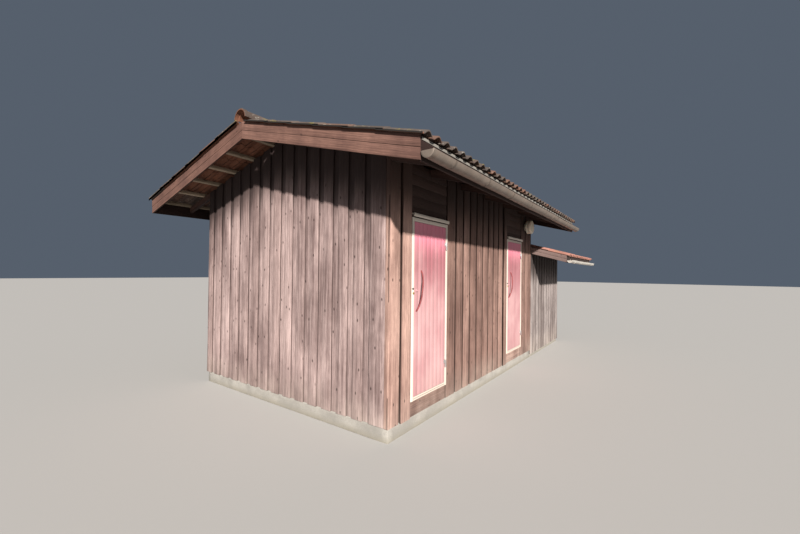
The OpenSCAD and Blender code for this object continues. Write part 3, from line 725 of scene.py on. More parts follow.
class BOATHOUSE_OT_main_boards(bpy.types.Operator):
    """Board cladding of the main building"""
    bl_idname = "boathouse.main_boards"
    bl_label = "Main boards"

    def execute(self, context):
        s = context.scene.boathouse_sizes
        edge = np.arange(-HALF_W + GABLE_FIRST, HALF_W - s.gable_pitch + 0.03, s.gable_pitch)
        gable = [(edge[0] - GABLE_FIRST_WIDE, edge[0]), *((e - s.gable_pitch + s.gable_recess, e) for e in edge[1:]),
                 (edge[-1] + s.gable_recess, HALF_W)]
        for side, seed in (("near", 3), ("far", 4)):
            piece = Piece()
            clad(piece, side, HALF_L, gable, MAIN, seed, dim=0.1)
            piece.build(f"{side}_gable_wall_boards", "faded_board_stain", "dark_boards", [f"{side}_gable_wall"])
        front_boards(s)
        piece = Piece()
        clad(piece, "back", HALF_W, even_spans(-HALF_L, HALF_L, s.side_pitch, s.recess), MAIN, 9)
        piece.build("back_wall_boards", "faded_board_stain", "dark_boards", ["back_wall"])
        return {"FINISHED"}


class BOATHOUSE_OT_door_panels(bpy.types.Operator):
    """Level boards over and under the doors"""
    bl_idname = "boathouse.door_panels"
    bl_label = "Door panels"

    def execute(self, context):
        s = context.scene.boathouse_sizes
        over, under = Piece(), Piece()
        tilt = math.radians(4)
        leaning = X, Z * math.cos(tilt) + Y * math.sin(tilt), -Y * math.cos(tilt) + Z * math.sin(tilt)
        top = MAIN.wall_top(gap=0.0)
        for i, (lo, hi) in enumerate(DOORS):
            wide = hi[0] - lo[0]
            rows = np.arange(hi[2] + 0.002, top - 0.02, s.head_board)
            tall = np.minimum(s.head_board + 0.012, top - rows - 0.002)
            # The boards over a door get a high shelter value: painted shade under the eave
            boards(over, points(lo[0] + 0.001, -HALF_W + 0.002, rows + tall / 2), leaning, wide - 0.002, tall, 0.02,
                   seed=11 + i, shelter=0.62)
            boards(over, ((lo[0] + hi[0]) / 2, -HALF_W + 0.03, hi[2]), UPRIGHT, top - hi[2] - 0.01, wide, 0.02,
                   seed=21 + i, shelter=0.6)
            boards(under, (lo[0] + 0.002, -HALF_W + 0.001, (WALL_FOOT + lo[2]) / 2), LEVEL, wide - 0.004,
                   lo[2] - WALL_FOOT - 0.003, 0.024, 0.004, seed=31 + i)
        over.build("door_head_boards", "brown_board_stain", "dark_boards", ["door_head_panels"])
        under.build("door_sill_boards", "brown_board_stain", "dark_boards", ["door_sill_panels"])
        return {"FINISHED"}


class BOATHOUSE_OT_annex_boards(bpy.types.Operator):
    """Board cladding of the annex"""
    bl_idname = "boathouse.annex_boards"
    bl_label = "Annex boards"

    def execute(self, context):
        s = context.scene.boathouse_sizes
        long_wall = even_spans(HALF_L + 0.002, ANNEX_END, s.annex_pitch, s.recess)
        end_wall = even_spans(-HALF_W, HALF_W, s.gable_pitch, s.recess)
        for node, side, face, spans, seed in (("annex_front_wall", "front", HALF_W, long_wall, 13),
                                              ("annex_back_wall", "back", HALF_W, long_wall, 14),
                                              ("annex_end_wall", "far", ANNEX_END, end_wall, 15)):
            piece = Piece()
            clad(piece, side, face, spans, ANNEX, seed)
            piece.build(f"{node}_boards", "grey_board_stain", "annex_boards", [node])
        return {"FINISHED"}


class BOATHOUSE_OT_room(bpy.types.Operator):
    """Inner lining and floor of the main room"""
    bl_idname = "boathouse.room"
    bl_label = "Lining and floor"

    def execute(self, context):
        inner_l, inner_w, floor_top = HALF_L - WALL, HALF_W - WALL, BOX["floor"][1, 2]
        low, plank = floor_top + 0.001, 0.028
        piece = Piece()

        def line(face, out, start, end, foot, seed):
            """Boards side by side on one inner face, from foot up to the roof."""
            across = Y if out[0] else X
            n = max(1, round((end - start) / 0.12))
            wide = (end - start) / n
            mid = start + wide * (np.arange(n) + 0.5)
            tall = MAIN.wall_top(mid if across is Y else inner_w + 0 * mid, 0.004) - foot
            boards(piece, mid[:, None] * across - face * out + foot * Z, (Z, across, out), tall, wide - 0.001, 0.018,
                   0.003, 0.0, -np.copysign(TAN, mid) * across[1], 0.0, 0.0, 2, seed)

        line(inner_l, X, -inner_w, inner_w, low, 41)
        line(inner_l, -X, -inner_w, inner_w, low, 42)
        line(inner_w, -Y, -inner_l, inner_l, low, 43)
        (a_lo, a_hi), (b_lo, b_hi) = DOORS
        stops = (-inner_l, a_lo[0], a_hi[0], b_lo[0], b_hi[0], inner_l)
        for i, foot in enumerate((low, a_hi[2], low, b_hi[2], low)):
            line(inner_w, Y, stops[i], stops[i + 1], foot, 44 + i)
        piece.build("room_lining", "inner_softwood", "timber")

        piece = Piece()
        n = round(2 * inner_w / 0.119)
        wide = 2 * inner_w / n
        mid = -inner_w + wide * (np.arange(n) + 0.5)
        boards(piece, points(-inner_l, mid, floor_top), (X, Y, Z), 2 * inner_l, wide - 0.0015, plank, 0.002,
               stations=4, seed=51)
        joists = points(np.linspace(-inner_l + 0.024, inner_l - 0.024, 7), -inner_w, floor_top - plank)
        boards(piece, joists, (Y, X, Z), 2 * inner_w, 0.048, floor_top - plank - BOX["floor"][0, 2], 0.002,
               stations=2, seed=52)
        piece.build("floor_planks", "grey_softwood", "timber", ["floor"])
        return {"FINISHED"}


def cast_block(lo, hi, seed):
    """A cast block: its plan, with small corner chamfers, carried up in steps.

    Each point of the plan is pushed in or out by a sum of sines of its place round the plan and its height.
    """
    rng = np.random.default_rng(seed)
    n, side, corner, waves = 60, 24, 0.012, 14
    ends = np.linspace(0, lo[1] + corner, side)
    half = np.concatenate([points(lo[0], ends, 0), points(np.linspace(lo[0] + corner, hi[0] - corner, n), lo[1], 0),
                           points(hi[0], ends[::-1], 0)])[:, :2]
    plan = np.concatenate([half, half[::-1] * (1, -1)])
    plan[[0, len(half) - 1], 1] -= 0.004
    plan[[len(half), -1], 1] += 0.004
    z = np.array([lo[2], lo[2] + 0.01, *np.linspace(lo[2] + 0.03, hi[2] - 0.012, 5), hi[2] - 0.003, hi[2]])
    on_edge = np.minimum(np.abs(plan - lo[:2]), np.abs(plan - hi[:2])) < corner + 0.001
    push = np.sign(plan - [(lo[0] + hi[0]) / 2, 0]) * on_edge
    place = np.arange(len(plan)) / len(plan)
    wave = np.zeros((len(z), len(plan)))
    for _ in range(waves):
        k, m, p = rng.integers(3, 90), rng.uniform(0, 60), rng.uniform(0, 6.28)
        wave += np.sin(k * 6.28 * place[None] + m * z[:, None] + p) / waves
    shrink = np.array([0.0, 0, *np.zeros(5), 0.003, 0.009])
    wave = -0.003 + 0.005 * wave - shrink[:, None]
    xy = plan[None] + push[None] * wave[..., None]
    return points(xy[..., 0], xy[..., 1], z[:, None])[None], z[None], distances(plan, True)


class BOATHOUSE_OT_foundations(bpy.types.Operator):
    """Rough concrete plinths of both parts"""
    bl_idname = "boathouse.foundations"
    bl_label = "Foundations"

    def execute(self, context):
        for node, seed in (("foundation", 61), ("annex_foundation", 62)):
            piece = Piece()
            piece.loft(*cast_block(*BOX[node], seed))
            piece.build(f"{node}_concrete", "cast_concrete", "concrete", [node], sharp=60)
        return {"FINISHED"}


# ---- Roof ----

def both(places):
    """The points and their mirror images across the ridge."""
    return np.concatenate([places, places * (1, -1, 1)])


def slope_axes(n):
    """Down-slope, along-ridge and outward directions for n boards on the front slope and n on the back."""
    down = both(np.tile([0, -COS, -SIN], (n, 1)))
    out = both(np.tile([0, -SIN, COS], (n, 1)))
    return down, np.tile(X, (2 * n, 1)), out


def lay_rafters(node, roof, pairs, tails, seed):
    """Rafters from the ridge to the fascia with square-cut ends, and tails outside the corners."""
    piece = Piece()
    tall = (roof.rafter_top - roof.rafter_foot) * COS
    for xs, y0 in ((pairs, 0.0), (tails, HALF_W)):
        boards(piece, both(points(xs, -y0, roof.z(roof.rafter_top, y0))), slope_axes(len(xs)),
               (EAVE_Y - TRIM - y0) / COS, RAFTER_T, tall, bend=0.001, seed=seed + int(y0 * 9))
    piece.build(f"{node}_sawn", "red_brown_stain", "timber", [node])


def lay_battens(node, roof, x0, eave_x0, x1, seed):
    """Level battens, square to the slope, one under each course."""
    piece = Piece()
    run = BATTEN * COS
    last = EAVE_Y - TRIM - SEAT - run - BATTEN * SIN
    y = BATTEN_TOP + (last - BATTEN_TOP) * np.arange(6) / 5
    start = np.where(y + run + BATTEN * SIN > HALF_W, eave_x0, x0)
    mid = y + run / 2 + BATTEN * SIN
    down, side, out = slope_axes(6)
    boards(piece, both(points(start, -mid, roof.z(roof.board + SEAT, mid))), (side, down, out),
           np.tile(x1 - start, 2), BATTEN, BATTEN - 0.0005, 0.0025, bend=0.001, stations=8, seed=seed)
    piece.build(f"{node}_sawn", "grey_softwood", "timber", [node])


class BOATHOUSE_OT_roof_timbers(bpy.types.Operator):
    """Rafters and battens"""
    bl_idname = "boathouse.roof_timbers"
    bl_label = "Roof timbers"

    def execute(self, context):
        half = RAFTER_T / 2
        step = (ANNEX_END - HALF_L) / 4
        lay_rafters("rafters", MAIN, [-1.6, -0.8, 0.0, 0.8, 1.6], [-HALF_L + half, HALF_L - half], 71)
        lay_rafters("annex_rafters", ANNEX, HALF_L + step * np.arange(1, 4), [ANNEX_END - half], 72)
        start = BARGE[0, 0] + TRIM
        lay_battens("roof_battens", MAIN, start, start, -start, 73)
        lay_battens("annex_roof_battens", ANNEX, HALF_L, HALF_L + TRIM, ANNEX_BARGE[1, 0] - TRIM, 74)
        return {"FINISHED"}


def verge_planks(piece, roof, face, out, y0, seed):
    """Two planks one above the other down each slope, with plumb ends, the upper one a touch proud.

    A plumb end keeps y constant: run cos + a sin = 0.
    """
    tall = roof.board * COS / 2
    for side in (-1, 1):
        axes = side * COS * Y - SIN * Z, side * SIN * Y + COS * Z, out
        for row in (0, 1):
            at = face * X + side * y0 * Y + roof.z((row + 0.5) * tall / COS, y0) * Z
            # The planks on the back slope get tone 0.05, painted shade; those on the front slope 0.55
            boards(piece, at - (0.0 if row else 0.002) * out, axes, (EAVE_Y - y0) / COS, tall - 0.0015,
                   TRIM - 0.002, 0.003, -TAN, -TAN, 0.0012, 0.001, 12, seed * 10 + row + 3 * side,
                   0.55 if side < 0 else 0.05)


class BOATHOUSE_OT_trim(bpy.types.Operator):
    """Bargeboards of two planks and fascias"""
    bl_idname = "boathouse.trim"
    bl_label = "Bargeboards and fascias"

    def execute(self, context):
        brown, grey = "red_brown_stain", "grey_brown_stain"
        for end, look, *verges in (("near", brown, (MAIN, BARGE[0, 0], -X, 0.0, 81)),
                                   ("far", brown, (MAIN, -BARGE[0, 0], X, 0.0, 82)),
                                   ("annex", grey, (ANNEX, ANNEX_BARGE[1, 0], X, 0.0, 83),
                                    (ANNEX, HALF_L, -X, HALF_W, 84))):
            piece = Piece()
            for verge in verges:
                verge_planks(piece, *verge)
            piece.build(f"{end}_bargeboard_planks", look, "brown_trim", [f"{end}_bargeboards"])
        for node, look, seed in (("fascias", brown, 85), ("annex_fascias", grey, 86)):
            piece = Piece()
            lo, hi = BOX[node]
            half = (hi[0] - lo[0]) / 2
            for y, out in ((lo[1], -Y), (hi[1], Y)):
                # Shelter 0.8 on the fascias is painted shade under the tiles
                boards(piece, points([lo[0], lo[0] + half], y, (lo[2] + hi[2]) / 2), (X, Z, out), half - 0.001,
                       hi[2] - lo[2], TRIM, stations=8, seed=seed, shelter=0.8)
            piece.build(f"{node}_planks", look, "brown_trim", [node])
        return {"FINISHED"}


def wave(u):
    """Height of a tile's wave at u across it, from 0 to 1: a raised cosine, flattened at the trough."""
    c = np.clip((u - 0.165) / 0.84, 0, 1)
    return (0.5 - 0.5 * np.cos(2 * math.pi * c)) ** 0.72


def lay_tiles(s, piece, roof, x0, x1, side, seed):
    """Tiles on one slope, all in one pass.

    Across a tile, u runs from -0.1 to 1 and its height is the wave of u. Down the slope, its head lies on
    the batten level and its tail is lifted by the tile below. Each tile is shifted and turned a little.
    On the back slope the waves are turned end for end, so their crests come to the near verge.
    """
    count = int(round((x1 - x0) / s.tile_width))
    w = (x1 - x0) / count
    start = x0 if side < 0 else x0 - 0.56 * w
    count += side > 0
    first = 0.1
    show = ((EAVE_Y + s.drip) / COS - roof.tile * SIN - first) / s.courses
    rng = np.random.default_rng(seed)
    col, row = [g.ravel() for g in np.meshgrid(np.arange(count), np.arange(s.courses))]
    n = len(col)
    u = np.array([-0.1, 0.16, 0.27, 0.37, 0.48, 0.585, 0.69, 0.8, 0.9, 0.985])
    a = np.concatenate([u, u[::-1]])
    is_top = np.arange(len(a)) < len(u)
    h = wave(a) * s.wave_rise + TILE_T * 0.9 * is_top + 0.003 * (a - 0.45)
    last = row == s.courses - 1
    head, tail = first + row * show - s.head_lap, first + (row + 1) * show
    along = np.stack([head, tail - 0.16, tail - 0.004, tail], 1)
    along = along + rng.uniform(-0.004, 0.004, (n, 1)) * ~last[:, None]
    part = (along - head[:, None]) / (tail - head)[:, None]
    lift = part * s.lap_lift * ~last[:, None] + rng.uniform(0.0, 0.0016, (n, 1))
    nose = np.array([0, 0, 0, 0.004])
    slip = rng.uniform(-0.0022, 0.0022, (n, 1)) + rng.uniform(-0.003, 0.003, (n, 1)) * part
    xs = np.clip(start + (col[:, None, None] + a[None, None]) * w + slip[:, :, None], x0, x1)
    up = roof.tile * COS + h[None, None] + lift[:, :, None] - nose[None, :, None] * is_top[None, None]
    run = along[:, :, None]
    rings = points(xs, side * (run * COS + up * SIN), roof.apex - run * SIN + up * COS)
    girth = distances(points(a * w, h), True) + rng.uniform(0, 20, (n, 1))
    # Shelter, as fired_clay reads it: noses and the eave course's undersides get nearly the tops' colour, and the verge
    # edges get 2, painted shade that turns them black
    fresh = np.where(is_top, 0.0, 1.0)[None, None] * np.ones((n, 4, 1))
    fresh[:, -1] = 0.1
    fresh[last] *= 0.25
    fresh[col == 0, :, 0] = fresh[col == 0, :, -1] = 2.0
    piece.loft(rings, along, girth, rng.uniform(0, 1, n) ** 2, fresh)


class BOATHOUSE_OT_tiles(bpy.types.Operator):
    """Single waved tiles in lapped courses"""
    bl_idname = "boathouse.tiles"
    bl_label = "Roof tiles"

    def execute(self, context):
        for node, roof, look, slot, *sides in (
                ("roof_tiles_front", MAIN, "old_clay", "main_tiles", (-1, 91)),
                ("roof_tiles_back", MAIN, "old_clay", "main_tiles", (1, 93)),
                ("annex_roof_tiles", ANNEX, "red_clay", "annex_tiles", (-1, 94), (1, 96))):
            piece = Piece()
            for side, seed in sides:
                lay_tiles(context.scene.boathouse_sizes, piece, roof, *BOX[node][:, 0], side, seed)
            piece.build(f"{node}_laid", look, slot, [node], sharp=50)
        return {"FINISHED"}


def ridge_row(show, piece, lo, hi, seed):
    """Half rings carried along the ridge: radius r(x) is wide at the collar, then tapers under the next one."""
    rng = np.random.default_rng(seed)
    n = int(round((hi[0] - lo[0]) / show))
    pitch = (hi[0] - lo[0]) / n
    v = np.linspace(math.pi, 0, 17)
    arc = np.stack([-np.cos(v), np.sin(v)])
    # Stations of one tile: its collar, its body and the part under the next collar
    along = np.array([0, 0.003, 0.045, 0.05, pitch * 0.6, pitch + 0.028])
    r = hi[1] + np.array([0.0, 0.003, 0.003, -0.006, -0.0075, -0.01])[:, None]
    xs = np.minimum(lo[0] + pitch * np.arange(n)[:, None] + along[None], hi[0])
    ring_y, ring_z = (np.concatenate([line * r, line[::-1] * (r - TILE_T)], 1) for line in arc)
    jog = rng.uniform(-0.002, 0.002, (2, n, 1, 1))
    rings = points(xs[:, :, None], ring_y + jog[0], lo[2] + ring_z + 0.002 + jog[1])
    girth = np.tile(distances(points(ring_y[0], ring_z[0]), True), (n, 1))
    fresh = np.repeat([0.0, 1.0], len(v))[None, None] * np.ones((n, len(along), 1))
    piece.loft(rings, xs, girth, rng.uniform(0, 1, n), fresh)


class BOATHOUSE_OT_ridge(bpy.types.Operator):
    """Half-round ridge tiles with collars"""
    bl_idname = "boathouse.ridge"
    bl_label = "Ridge tiles"

    def execute(self, context):
        for node, slot, look, seed in (("ridge_tiles", "main_tiles", "old_clay", 101),
                                       ("annex_ridge_tiles", "annex_tiles", "red_clay", 102)):
            piece = Piece()
            ridge_row(context.scene.boathouse_sizes.ridge_tile, piece, *BOX[node], seed)
            piece.build(f"{node}_laid", look, slot, [node], sharp=40)
        return {"FINISHED"}


def eave_strips():
    """A thin pale strip on the upper edge of each fascia."""
    piece = Piece()
    (x0, _, _), (x1, _, top) = FASCIA
    tall, thick = 0.023, 0.005
    for side in (-1, 1):
        boards(piece, (x0, side * (EAVE_Y + thick), top - tall / 2), (X, Z, side * Y), x1 - x0, tall, thick,
               0.0012, bend=0.0, stations=12, seed=91)
    piece.build("eave_strips", "pale_strip_sheet", "gutter_metal")


def gutter_run(piece, lo, hi, radius, bead):
    """A half ring of sheet carried along X, a rolled bead on its outer rim and two domed end caps."""
    centre_y, rim, sheet = (lo[1] + hi[1]) / 2, hi[2], 0.0018
    outer = half_ring(radius)
    inner = outer[::-1] * (radius - sheet) / radius
    path = points(np.linspace(lo[0], hi[0], 30), centre_y, rim)
    path[:, 2] += 0.0015 * np.sin(path[:, 0] * 3.1) + 0.001 * np.sin(path[:, 0] * 7.7)
    carried(piece, path, Z, np.concatenate([outer, inner]) * (-1, 1))
    carried(piece, path + (0, -radius + bead, 0), Z, round_outline(bead, 10))
    ring = np.concatenate([outer, points(np.linspace(radius, -radius, 25), 0)])
    for x, way in ((lo[0], -1), (hi[0], 1)):
        # The cap's rim, its shoulder and its dome
        rows = np.array([0.004, 0.0, -0.002, -0.003]) * -way
        share = np.array([1.012, 1.012, 0.97, 0.75])[:, None]
        rings = points(x + rows[:, None], centre_y + ring[:, 0] * share, rim + ring[:, 1] * share)
        piece.loft(rings[None], np.abs(rows)[None] + np.arange(4) * 0.001, np.linspace(0, 0.3, 51)[None])


def union_bands(piece, lo, hi, radius, xs):
    """Union bands: a slightly wider half ring over each joint of the gutter."""
    outer = half_ring(radius + 0.003)
    inner = outer[::-1] * (radius - 0.001) / (radius + 0.003)
    for x in xs:
        path = points(np.array([-0.02, -0.017, 0.017, 0.02]) + x, (lo[1] + hi[1]) / 2, hi[2])
        carried(piece, path, Z, np.concatenate([outer, inner]) * (-1, 1), [0.985, 1, 1, 0.985])


def strap_bars(piece, lo, hi, radius, xs):
    """Flat straps: a thin bar carried from the outer rim round under the gutter and up the fascia."""
    centre_y, wide, thick = (lo[1] + hi[1]) / 2, 0.012, 0.002
    leg = -EAVE_Y - centre_y - thick
    line = np.concatenate([half_ring(radius + thick, 22), [(leg, 0.004), (leg, 0.03)]])
    bar = np.array([(-wide, thick), (wide, thick), (wide, -thick), (-wide, -thick)])
    for x in xs:
        path = points(x, centre_y + line[:, 0], hi[2] + line[:, 1])
        tangent = np.gradient(path, axis=0)
        tangent /= np.linalg.norm(tangent, axis=1, keepdims=True)
        up = np.cross(tangent, X)
        rings = path[:, None] + bar[None, :, 0, None] * X + bar[None, :, 1, None] * up[:, None]
        piece.loft(rings[None], distances(path), np.array([[0, 0.024, 0.028, 0.052, 0.056]]))


class BOATHOUSE_OT_gutters(bpy.types.Operator):
    """Half-round gutters with beads, end caps and straps"""
    bl_idname = "boathouse.gutters"
    bl_label = "Gutters"

    def execute(self, context):
        bead = context.scene.boathouse_sizes.bead
        lo, hi = BOX["gutter"]
        radius = (hi[1] - lo[1]) / 2
        piece = Piece()
        gutter_run(piece, lo, hi, radius, bead)
        union_bands(piece, lo, hi, radius, (-0.83, 0.83))
        piece.build("gutter_sheet", "dull_gutter_sheet", "gutter_metal", ["gutter"])
        eave_strips()
        piece = Piece()
        ends = BOX["gutter_brackets"][:, 0]
        strap_bars(piece, lo, hi, radius, np.linspace(ends[0] + 0.012, ends[1] - 0.012, 8))
        piece.build("gutter_straps", "dark_strap_sheet", "gutter_metal", ["gutter_brackets"])

        lo, hi = BOX["annex_gutter"].copy()
        hi[2] -= 0.03
        radius = hi[2] - lo[2] - 0.004
        hi[1] = -EAVE_Y - 0.008
        lo[1] = hi[1] - 2 * radius
        piece = Piece()
        gutter_run(piece, lo, hi, radius, bead)
        strap_bars(piece, lo, hi, radius, lo[0] + (hi[0] - lo[0]) / 4 * (np.arange(4) + 0.5))
        piece.build("annex_gutter_sheet", "pale_gutter_sheet", "gutter_metal", ["annex_gutter"])
        return {"FINISHED"}


# ---- Doors ----

JAMB = 0.04         # width of a door frame's posts and head
STOP = 0.014        # width of the stop strip inside the frame
SKIN = 0.024        # thickness of the leaf boards


def bars(piece, i, at, axes, length, width, depth, edge, seed, **more):
    """Straight planed boards of a door."""
    boards(piece, at, axes, length, width, depth, edge, bend=0.0, seed=seed + i, **more)


def door_frame(i, lo, hi):
    """Two posts and a head of one section, a grooved sill, and a stop strip round the inside."""
    piece = Piece()
    (x0, face, z0), (x1, back, z1) = lo, hi
    stop_y = BOX[f"door_{i}_leaf"][1, 1] + 0.005
    bars(piece, i, points([x0 + JAMB / 2, x1 - JAMB / 2], face, z0), UPRIGHT, z1 - z0, JAMB, back - face, 0.0035, 120)
    bars(piece, i, points(x0 + JAMB, [face, face, face - 0.002], [z1 - JAMB / 2, z0 + 0.0315, z0 + 0.009]), LEVEL,
         x1 - x0 - 2 * JAMB, [JAMB, 0.017, 0.017], back - face, 0.0035, 122)
    bars(piece, i, points([x0 + JAMB + STOP / 2, x1 - JAMB - STOP / 2], stop_y, z0 + JAMB), UPRIGHT, z1 - z0 - 2 * JAMB,
         STOP, back - stop_y, 0.002, 124)
    bars(piece, i, (x0 + JAMB + STOP, stop_y, z1 - JAMB - STOP / 2), LEVEL, x1 - x0 - 2 * (JAMB + STOP), STOP,
         back - stop_y, 0.002, 126)
    piece.build(f"door_{i}_frame_painted", "old_cream_paint", "cream_paint", [f"door_{i}_frame"])


def door_leaf(i, lo, hi):
    """Upright boards with eased joints, a core behind them, three ledges and two braces."""
    piece = Piece()
    count = 8
    wide, tall = (hi[0] - lo[0]) / count, hi[2] - lo[2]
    centre_z, ledge_t, core = (lo[2] + hi[2]) / 2, hi[1] - lo[1] - SKIN, lo + (0.001, 0.006, 0.001)
    # The boards' top 0.42 m take the kept rose, partly unbleached paint and partly painted light in the eave's shade,
    # with painted shade along their edges there
    bars(piece, i, points(lo[0] + wide * (np.arange(count) + 0.5), lo[1], lo[2]), UPRIGHT, tall, wide - 0.0016, SKIN,
         0.0034, 130, cup=0.0008, stations=14, eaves=0.42)
    # The core behind the boards gets shelter 1.7: painted shade that shows dark in the joints
    bars(piece, i, (core[0], core[1], centre_z), LEVEL, hi[0] - lo[0] - 0.002, tall - 0.002, SKIN - 0.008, 0.001, 132,
         stations=2, shelter=1.7)
    heights = np.array([lo[2] + 0.16, centre_z, hi[2] - 0.16])
    bars(piece, i, points(lo[0] + 0.02, hi[1], heights), (X, Z, Y), hi[0] - lo[0] - 0.04, 0.12, ledge_t, 0.004, 134)
    for z0, z1 in zip(heights[:-1] + 0.06, heights[1:] - 0.06):
        brace = np.array([lo[0] - hi[0] + 0.18, 0.0, z1 - z0])
        way = brace / np.linalg.norm(brace)
        cut = way[0] / way[2]
        axes = way, np.cross(way, Y), Y
        bars(piece, i, (hi[0] - 0.09, hi[1], z0), axes, np.linalg.norm(brace), 0.1, ledge_t - 0.001,
             0.004, 136, foot=cut, head=cut)
    piece.build(f"door_{i}_leaf_boards", "old_rose_paint", "rose_paint", [f"door_{i}_leaf"], f"door_{i}")


class BOATHOUSE_OT_doors(bpy.types.Operator):
    """Door frames, leaves and drip boards"""
    bl_idname = "boathouse.doors"
    bl_label = "Doors"

    def execute(self, context):
        piece = Piece()
        d_lo, d_hi = BOX["door_drip_boards"]
        tilt = math.radians(8)
        sloping = X, -Y * math.cos(tilt) - Z * math.sin(tilt), Z * math.cos(tilt) - Y * math.sin(tilt)
        for i, (lo, hi) in enumerate(DOORS, 1):
            door_frame(i, lo, hi)
            door_leaf(i, *BOX[f"door_{i}_leaf"])
            boards(piece, (lo[0], d_lo[1] + 0.002, d_hi[2] - 0.0185), LEVEL, hi[0] - lo[0], 0.037, 0.012,
                   seed=110 + i)
            boards(piece, (lo[0], (d_lo[1] + d_hi[1]) / 2, d_hi[2] - 0.001), sloping, hi[0] - lo[0],
                   d_hi[1] - d_lo[1] - 0.002, d_hi[2] - d_lo[2] - 0.012, seed=112 + i)
        piece.build("drip_boards_painted", "old_cream_paint", "cream_paint", ["door_drip_boards"])
        return {"FINISHED"}


def bow_handle(i, lo, hi):
    """A bowed branch: a round outline carried on an arc, swollen at the feet and at two knots."""
    face, mid, thick = BOX[f"door_{i}_leaf"][0, 1], (lo + hi) / 2, 0.0084
    t = np.linspace(0, 1, 49)
    span = (hi[2] - lo[2]) / 2 - 0.012
    z = mid[2] - span + 2 * span * t
    x = mid[0] + (z - mid[2]) * math.tan(math.radians(12)) + 0.004 * np.sin(9 * t) - 0.006 * (t - 0.5) ** 2
    y = face + 0.004 - (face - lo[1] - thick + 0.002) * np.sin(math.pi * t) ** 0.62
    bumps = ((0.0, 0.05, 0.2), (1.0, 0.05, 0.2), (0.36, 0.03, 0.16), (0.68, 0.025, 0.13))
    swell = 1 + 0.04 * np.sin(23 * t) - 0.12 * t + sum(
        height * np.exp(-((t - place) / width) ** 2) for place, width, height in bumps)
    piece = Piece()
    carried(piece, points(x, y, z), X, round_outline(thick, 20), swell)
    piece.build(f"door_{i}_handle_branch", "dark_branch", "branch_wood", [f"door_{i}_handle"], f"door_{i}", 80)


def lock_parts(i, lo, hi):
    """Turned rosette with a cylinder and its key slot, and the keeper and the catch on the post beside it."""
    x, _, z = (lo + hi) / 2
    r, out = (hi[0] - lo[0]) / 2, hi[1] - lo[1]
    profile = [(r, 0.0), (r, 0.004), (r * 0.93, 0.006), (r * 0.8, 0.007), (r * 0.62, 0.0075), (r * 0.6, 0.014),
               (r * 0.54, 0.0155), (r * 0.42, 0.016), (r * 0.4, 0.0185), (r * 0.34, out), (r * 0.05, out)]
    piece = Piece()
    turned(piece, (x, hi[1], z), profile, 28)
    slot = 0.001 * np.array([(-1, 1), (1, 1), (1, -1), (-1, -1)])
    carried(piece, points(x, lo[1] - 0.0005, [z - 0.006, z + 0.006]), X, slot)
    piece.build(f"door_{i}_lock_rosette", "old_rose_paint", "hinge_steel", [f"door_{i}_lock"], f"door_{i}")
    post_x, post_y, _ = BOX[f"door_{i}_frame"][0]
    for name, look, x, z, r, out in (("keeper", "dark_iron", 0.011, 1.542, 0.0105, 0.016),
                                     ("catch", "yellow_brass", 0.02, 1.494, 0.012, 0.02)):
        profile = [(r, 0.0), (r, 0.3 * out), (0.9 * r, 0.38 * out), (0.62 * r, 0.42 * out),
                   (0.6 * r, 0.9 * out), (0.5 * r, out), (0.04 * r, out)]
        piece = Piece()
        turned(piece, (post_x + x, post_y - 0.0002, z), profile, 24)
        piece.build(f"door_{i}_{name}", look, "hinge_steel")


def hinge_screws(node, fixed, body):
    """Domed screw heads on the fixed or the moving hinge plates: a short turned profile at each place."""
    profile = [(0.0042, 0.0), (0.004, 0.0008), (0.003, 0.0016), (0.0012, 0.002), (0.0002, 0.0021)]
    lo, hi = BOX[node]
    piece = Piece()
    x = hi[0] - 0.012 if fixed else lo[0] + 0.012
    y = -HALF_W - (0.0218 if fixed else 0.0198)
    for base in (lo[2], hi[2] - (0.084 if fixed else 0.045)):
        for up in (0.011, 0.034):
            turned(piece, (x, y, base + up), profile, 12)
    piece.build(f"{node}_screws", "zinc_plating", "hinge_steel", body=body, sharp=60)


class BOATHOUSE_OT_fittings(bpy.types.Operator):
    """Branch handles, locks and hinge screws"""
    bl_idname = "boathouse.fittings"
    bl_label = "Door fittings"

    def execute(self, context):
        for i in (1, 2):
            bow_handle(i, *BOX[f"door_{i}_handle"])
            lock_parts(i, *BOX[f"door_{i}_lock"])
        for node, body in (("door_1_hinges", "building"), ("door_1_hinge_sleeves", "door_1"),
                           ("door_2_hinges", "building"), ("door_2_hinge_sleeves", "door_2")):
            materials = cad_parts[node].data.materials
            materials.clear()
            materials.append(finish("zinc_plating"))
            hinge_screws(node, body == "building", body)
        return {"FINISHED"}


class BOATHOUSE_OT_lamp(bpy.types.Operator):
    """Round wall lamp under the eave"""
    bl_idname = "boathouse.lamp"
    bl_label = "Wall lamp"

    def execute(self, context):
        lo, hi = BOX["wall_lamp"]
        r, deep, edge = (hi[0] - lo[0]) / 2, hi[1] - lo[1], 0.03
        rounded = [(r - edge + edge * math.cos(a), deep - edge - 0.006 + edge * math.sin(a))
                   for a in np.linspace(0, math.pi / 2, 9)]
        profile = [(0.068, 0.0), (0.07, 0.003), (0.07, 0.034), (0.074, 0.038), (r - 0.01, 0.042),
                   (r - 0.003, 0.045), (r, 0.05), (r, 0.074), (r - 0.0025, 0.0755), (r - 0.0025, 0.0785),
                   (r, 0.08), *rounded, (r * 0.6, deep - 0.0035), (r * 0.3, deep - 0.001), (r * 0.02, deep)]
        piece = Piece()
        turned(piece, ((lo[0] + hi[0]) / 2, hi[1], (lo[2] + hi[2]) / 2), profile, 64)
        piece.build("wall_lamp_shade", "cream_shade", "lamp_cream", ["wall_lamp"], sharp=60)
        return {"FINISHED"}


# ---- Stage ----

